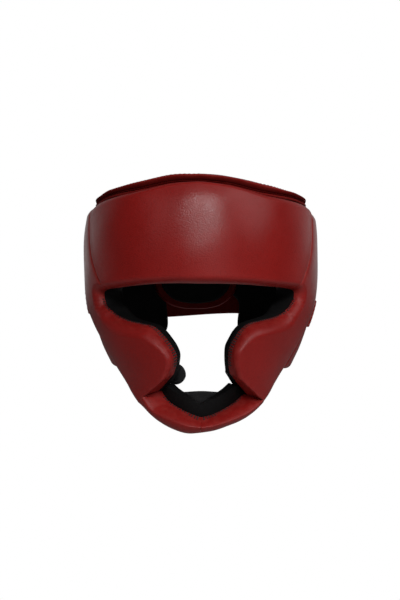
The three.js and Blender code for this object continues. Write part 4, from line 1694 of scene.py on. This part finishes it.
def ribbon(route, height, thick, round_end, stations=150, columns=20):
    """The outer and inner faces of a flat strap along a route in plan, and its own map in metres."""
    last = len(route["deg"]) - 1

    def point(share):
        row = row_at(route, np.clip(share, 0, 1) * last)
        turn = np.radians(row["deg"])
        return np.stack([row["reach"] * np.sin(turn), -row["reach"] * np.cos(turn), row["z"]], -1)

    share = np.linspace(0, 1, stations + 1)
    length = np.sum(np.linalg.norm(np.diff(point(share), axis=0), axis=1))
    if round_end:
        share = np.sin(np.pi / 2 * share)
    row = row_at(route, share * last)
    turn, lean = np.radians(row["deg"]), np.radians(row["lean"])
    out = np.stack([np.cos(lean) * np.sin(turn), -np.cos(lean) * np.cos(turn), -np.sin(lean)], -1)
    ahead = unit(point(share + ROUTE_STEP) - point(share - ROUTE_STEP))
    out = unit(out - ahead * np.sum(out * ahead, -1, keepdims=True))
    up = unit(np.cross(out, ahead))
    left = np.minimum(length * (1 - share) / (height / 2), 1)
    full = np.maximum(np.sqrt(1 - (1 - left) ** 2), CHIN_TAB_TIP) if round_end else np.ones(len(share))
    across = (2 * spread(columns, 0.8) - 1)[None, :]
    width = (full * height / 2)[:, None] * across
    flat = point(share)[:, None] + up[:, None] * width[..., None]
    edge = (full * height / 2)[:, None] - np.abs(width)
    if not round_end:
        edge = np.minimum(edge, length * np.minimum(share, 1 - share)[:, None])
    drop = roll(edge, WEB_ROLL, WEB_ROLL, 2)
    face = flat + out[:, None] * (thick / 2 - drop)[..., None]
    back = flat - out[:, None] * (thick / 2 - drop)[..., None]
    uv = np.stack([np.broadcast_to((length * share)[:, None], width.shape), width], -1) * MM
    return face, back, uv, out


class HEADGEAR_OT_chin_strap(bpy.types.Operator):
    """Make the chin strap, its free end and their stitches"""

    bl_idname = "headgear.chin_strap"
    bl_label = "Chin strap"

    def execute(self, context):
        sizes = in_mm(context.scene.headgear_sizes)
        runs = []
        for node, route, height, round_end in (
            ("chin_strap", CHIN_STRAP_ROUTE, CHIN_STRAP_HEIGHT, False),
            ("chin_strap_tab", CHIN_TAB_ROUTE, CHIN_TAB_HEIGHT, True),
        ):
            face, back, uv, out = ribbon(route, height, CHIN_STRAP_THICK, round_end)
            strap = closed_strip(node + "_woven", face, back, {}, uv)
            dress(strap, "black_web", node)
            runs += [(face[WEB_STITCHED, column], out[WEB_STITCHED]) for column in WEB_STITCH_COLUMNS]
        sew_seam("chin_strap_stitches", runs, sizes, "black_thread", "black_web")
        return {"FINISHED"}


# Stage

# Soft panels of light: place and size in metres, and power in watts. All face one point.
LIGHTS = {
    "key": {"place": (0.08, -1.52, 0.67), "size": 0.36, "power": 11.5},
    "right": {"place": (1.2, -1.0, 1.1), "size": 1.5, "power": 16},
    "left": {"place": (-0.9, -1.3, 0.65), "size": 0.9, "power": 2},
    "low": {"place": (0.32, -1.65, -0.02), "size": 0.4, "power": 0.9},
}
AIM = (0, 0, -0.1)
FLOOR_SIZE = 12
FLOOR_COLOUR = (0.62, 0.62, 0.62, 1)
WHITE = (1, 1, 1, 1)
SKY = {"front": 0.07, "behind": 0.58, "above": 0.3, "below": 0.8}


class HEADGEAR_OT_stage(bpy.types.Operator):
    """Set the camera, the pale floor and the soft light"""

    bl_idname = "headgear.stage"
    bl_label = "Stage"

    def execute(self, context):
        scene, stage = context.scene, context.scene.headgear_stage
        scene.view_settings.view_transform = "Standard"
        bpy.ops.object.select_all(action="DESELECT")
        middle = Vector((stage.aside, 0, stage.middle))
        away = Vector((0, -math.cos(stage.elevation), math.sin(stage.elevation)))
        self.camera(scene, middle + away * stage.distance, middle, stage.lens)
        self.floor(stage.floor)
        for name, light in LIGHTS.items():
            self.soft_panel(name, **light)
        self.sky(scene)
        return {"FINISHED"}

    def camera(self, scene, eye, middle, lens):
        """The camera, which looks at the headgear's middle."""
        bpy.ops.object.camera_add(location=eye, rotation=(middle - eye).to_track_quat("-Z", "Y").to_euler())
        scene.camera = bpy.context.object
        scene.camera.data.lens = lens

    def floor(self, height):
        """A pale floor, seen as plain white."""
        bpy.ops.mesh.primitive_plane_add(size=FLOOR_SIZE, location=(0, 0, height))
        floor = bpy.context.object
        floor.name = "floor"
        bpy.ops.object.transform_apply(location=True)
        material = bpy.data.materials.new("pale_floor")
        material.use_nodes = True
        tree = material.node_tree
        tree.nodes.clear()
        seen = node_of(tree, "ShaderNodeLightPath").outputs["Is Camera Ray"]
        matt = node_of(tree, "ShaderNodeBsdfDiffuse", Color=FLOOR_COLOUR).outputs[0]
        white = node_of(tree, "ShaderNodeEmission", Color=WHITE, Strength=1.0).outputs[0]
        shown = node_of(tree, "ShaderNodeMixShader", i0=seen, i1=matt, i2=white).outputs[0]
        node_of(tree, "ShaderNodeOutputMaterial", Surface=shown)
        floor.data.materials.append(material)

    def soft_panel(self, name, place, size, power):
        """A round panel of soft light."""
        aim = (Vector(AIM) - Vector(place)).to_track_quat("-Z", "Y").to_euler()
        bpy.ops.object.light_add(type="AREA", location=place, rotation=aim)
        panel = bpy.context.object
        panel.name = name
        panel.visible_camera = False
        panel.data.shape = "DISK"
        panel.data.size = size
        panel.data.energy = power

    def sky(self, scene):
        """Soft light from all round, stronger from behind, seen as plain white."""
        world = bpy.data.worlds.new("studio")
        scene.world = world
        world.use_nodes = True
        tree = world.node_tree
        tree.nodes.clear()
        way = node_of(tree, "ShaderNodeTexCoord").outputs["Generated"]
        way = node_of(tree, "ShaderNodeSeparateXYZ", Vector=way).outputs
        around = ramp_of(tree, way["Y"], (0.0, 0.6), (SKY["front"], SKY["behind"]))
        above = ramp_of(tree, way["Z"], (0.1, 0.6), (1.0, SKY["above"]))
        below = ramp_of(tree, way["Z"], (-0.6, -0.1), (SKY["below"], 1.0))
        strength = math_of(tree, "MULTIPLY", around, math_of(tree, "MULTIPLY", above, below))
        lit = node_of(tree, "ShaderNodeBackground", Color=WHITE, Strength=strength).outputs[0]
        white = node_of(tree, "ShaderNodeBackground", Color=WHITE, Strength=1.0).outputs[0]
        seen = node_of(tree, "ShaderNodeLightPath").outputs["Is Camera Ray"]
        shown = node_of(tree, "ShaderNodeMixShader", i0=seen, i1=lit, i2=white).outputs[0]
        node_of(tree, "ShaderNodeOutputWorld", Surface=shown)


class HEADGEAR_PT_panel(bpy.types.Panel):
    """Settings and steps of the headgear"""

    bl_idname = "HEADGEAR_PT_panel"
    bl_label = "Padded headgear"
    bl_space_type = "VIEW_3D"
    bl_region_type = "UI"
    bl_category = "Headgear"

    def draw(self, context):
        for group, settings in SETTINGS.items():
            box = self.layout.box()
            for name in settings.__annotations__:
                box.prop(getattr(context.scene, group), name)
        for operator in OPERATORS:
            self.layout.operator(operator.bl_idname)


SETTINGS = {
    "headgear_sizes": HeadgearSizes,
    "headgear_colours": HeadgearColours,
    "headgear_stage": HeadgearStage,
}
OPERATORS = (
    HEADGEAR_OT_brow,
    HEADGEAR_OT_cheeks,
    HEADGEAR_OT_ears,
    HEADGEAR_OT_chin,
    HEADGEAR_OT_crown,
    HEADGEAR_OT_nape,
    HEADGEAR_OT_rear_strap,
    HEADGEAR_OT_chin_strap,
    HEADGEAR_OT_stage,
)


def register():
    """Registers the classes and hangs the settings on the scene."""
    for item in (*SETTINGS.values(), *OPERATORS, HEADGEAR_PT_panel):
        bpy.utils.register_class(item)
    for name, settings in SETTINGS.items():
        setattr(bpy.types.Scene, name, bpy.props.PointerProperty(type=settings))


def unregister():
    """Takes the settings and the classes away again."""
    for name in SETTINGS:
        delattr(bpy.types.Scene, name)
    for item in (HEADGEAR_PT_panel, *OPERATORS[::-1], *SETTINGS.values()):
        bpy.utils.unregister_class(item)


def main():
    """Registers the add-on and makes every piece."""
    register()
    for operator in OPERATORS:
        group, name = operator.bl_idname.split(".")
        getattr(getattr(bpy.ops, group), name)()


if __name__ == "__main__":
    main()
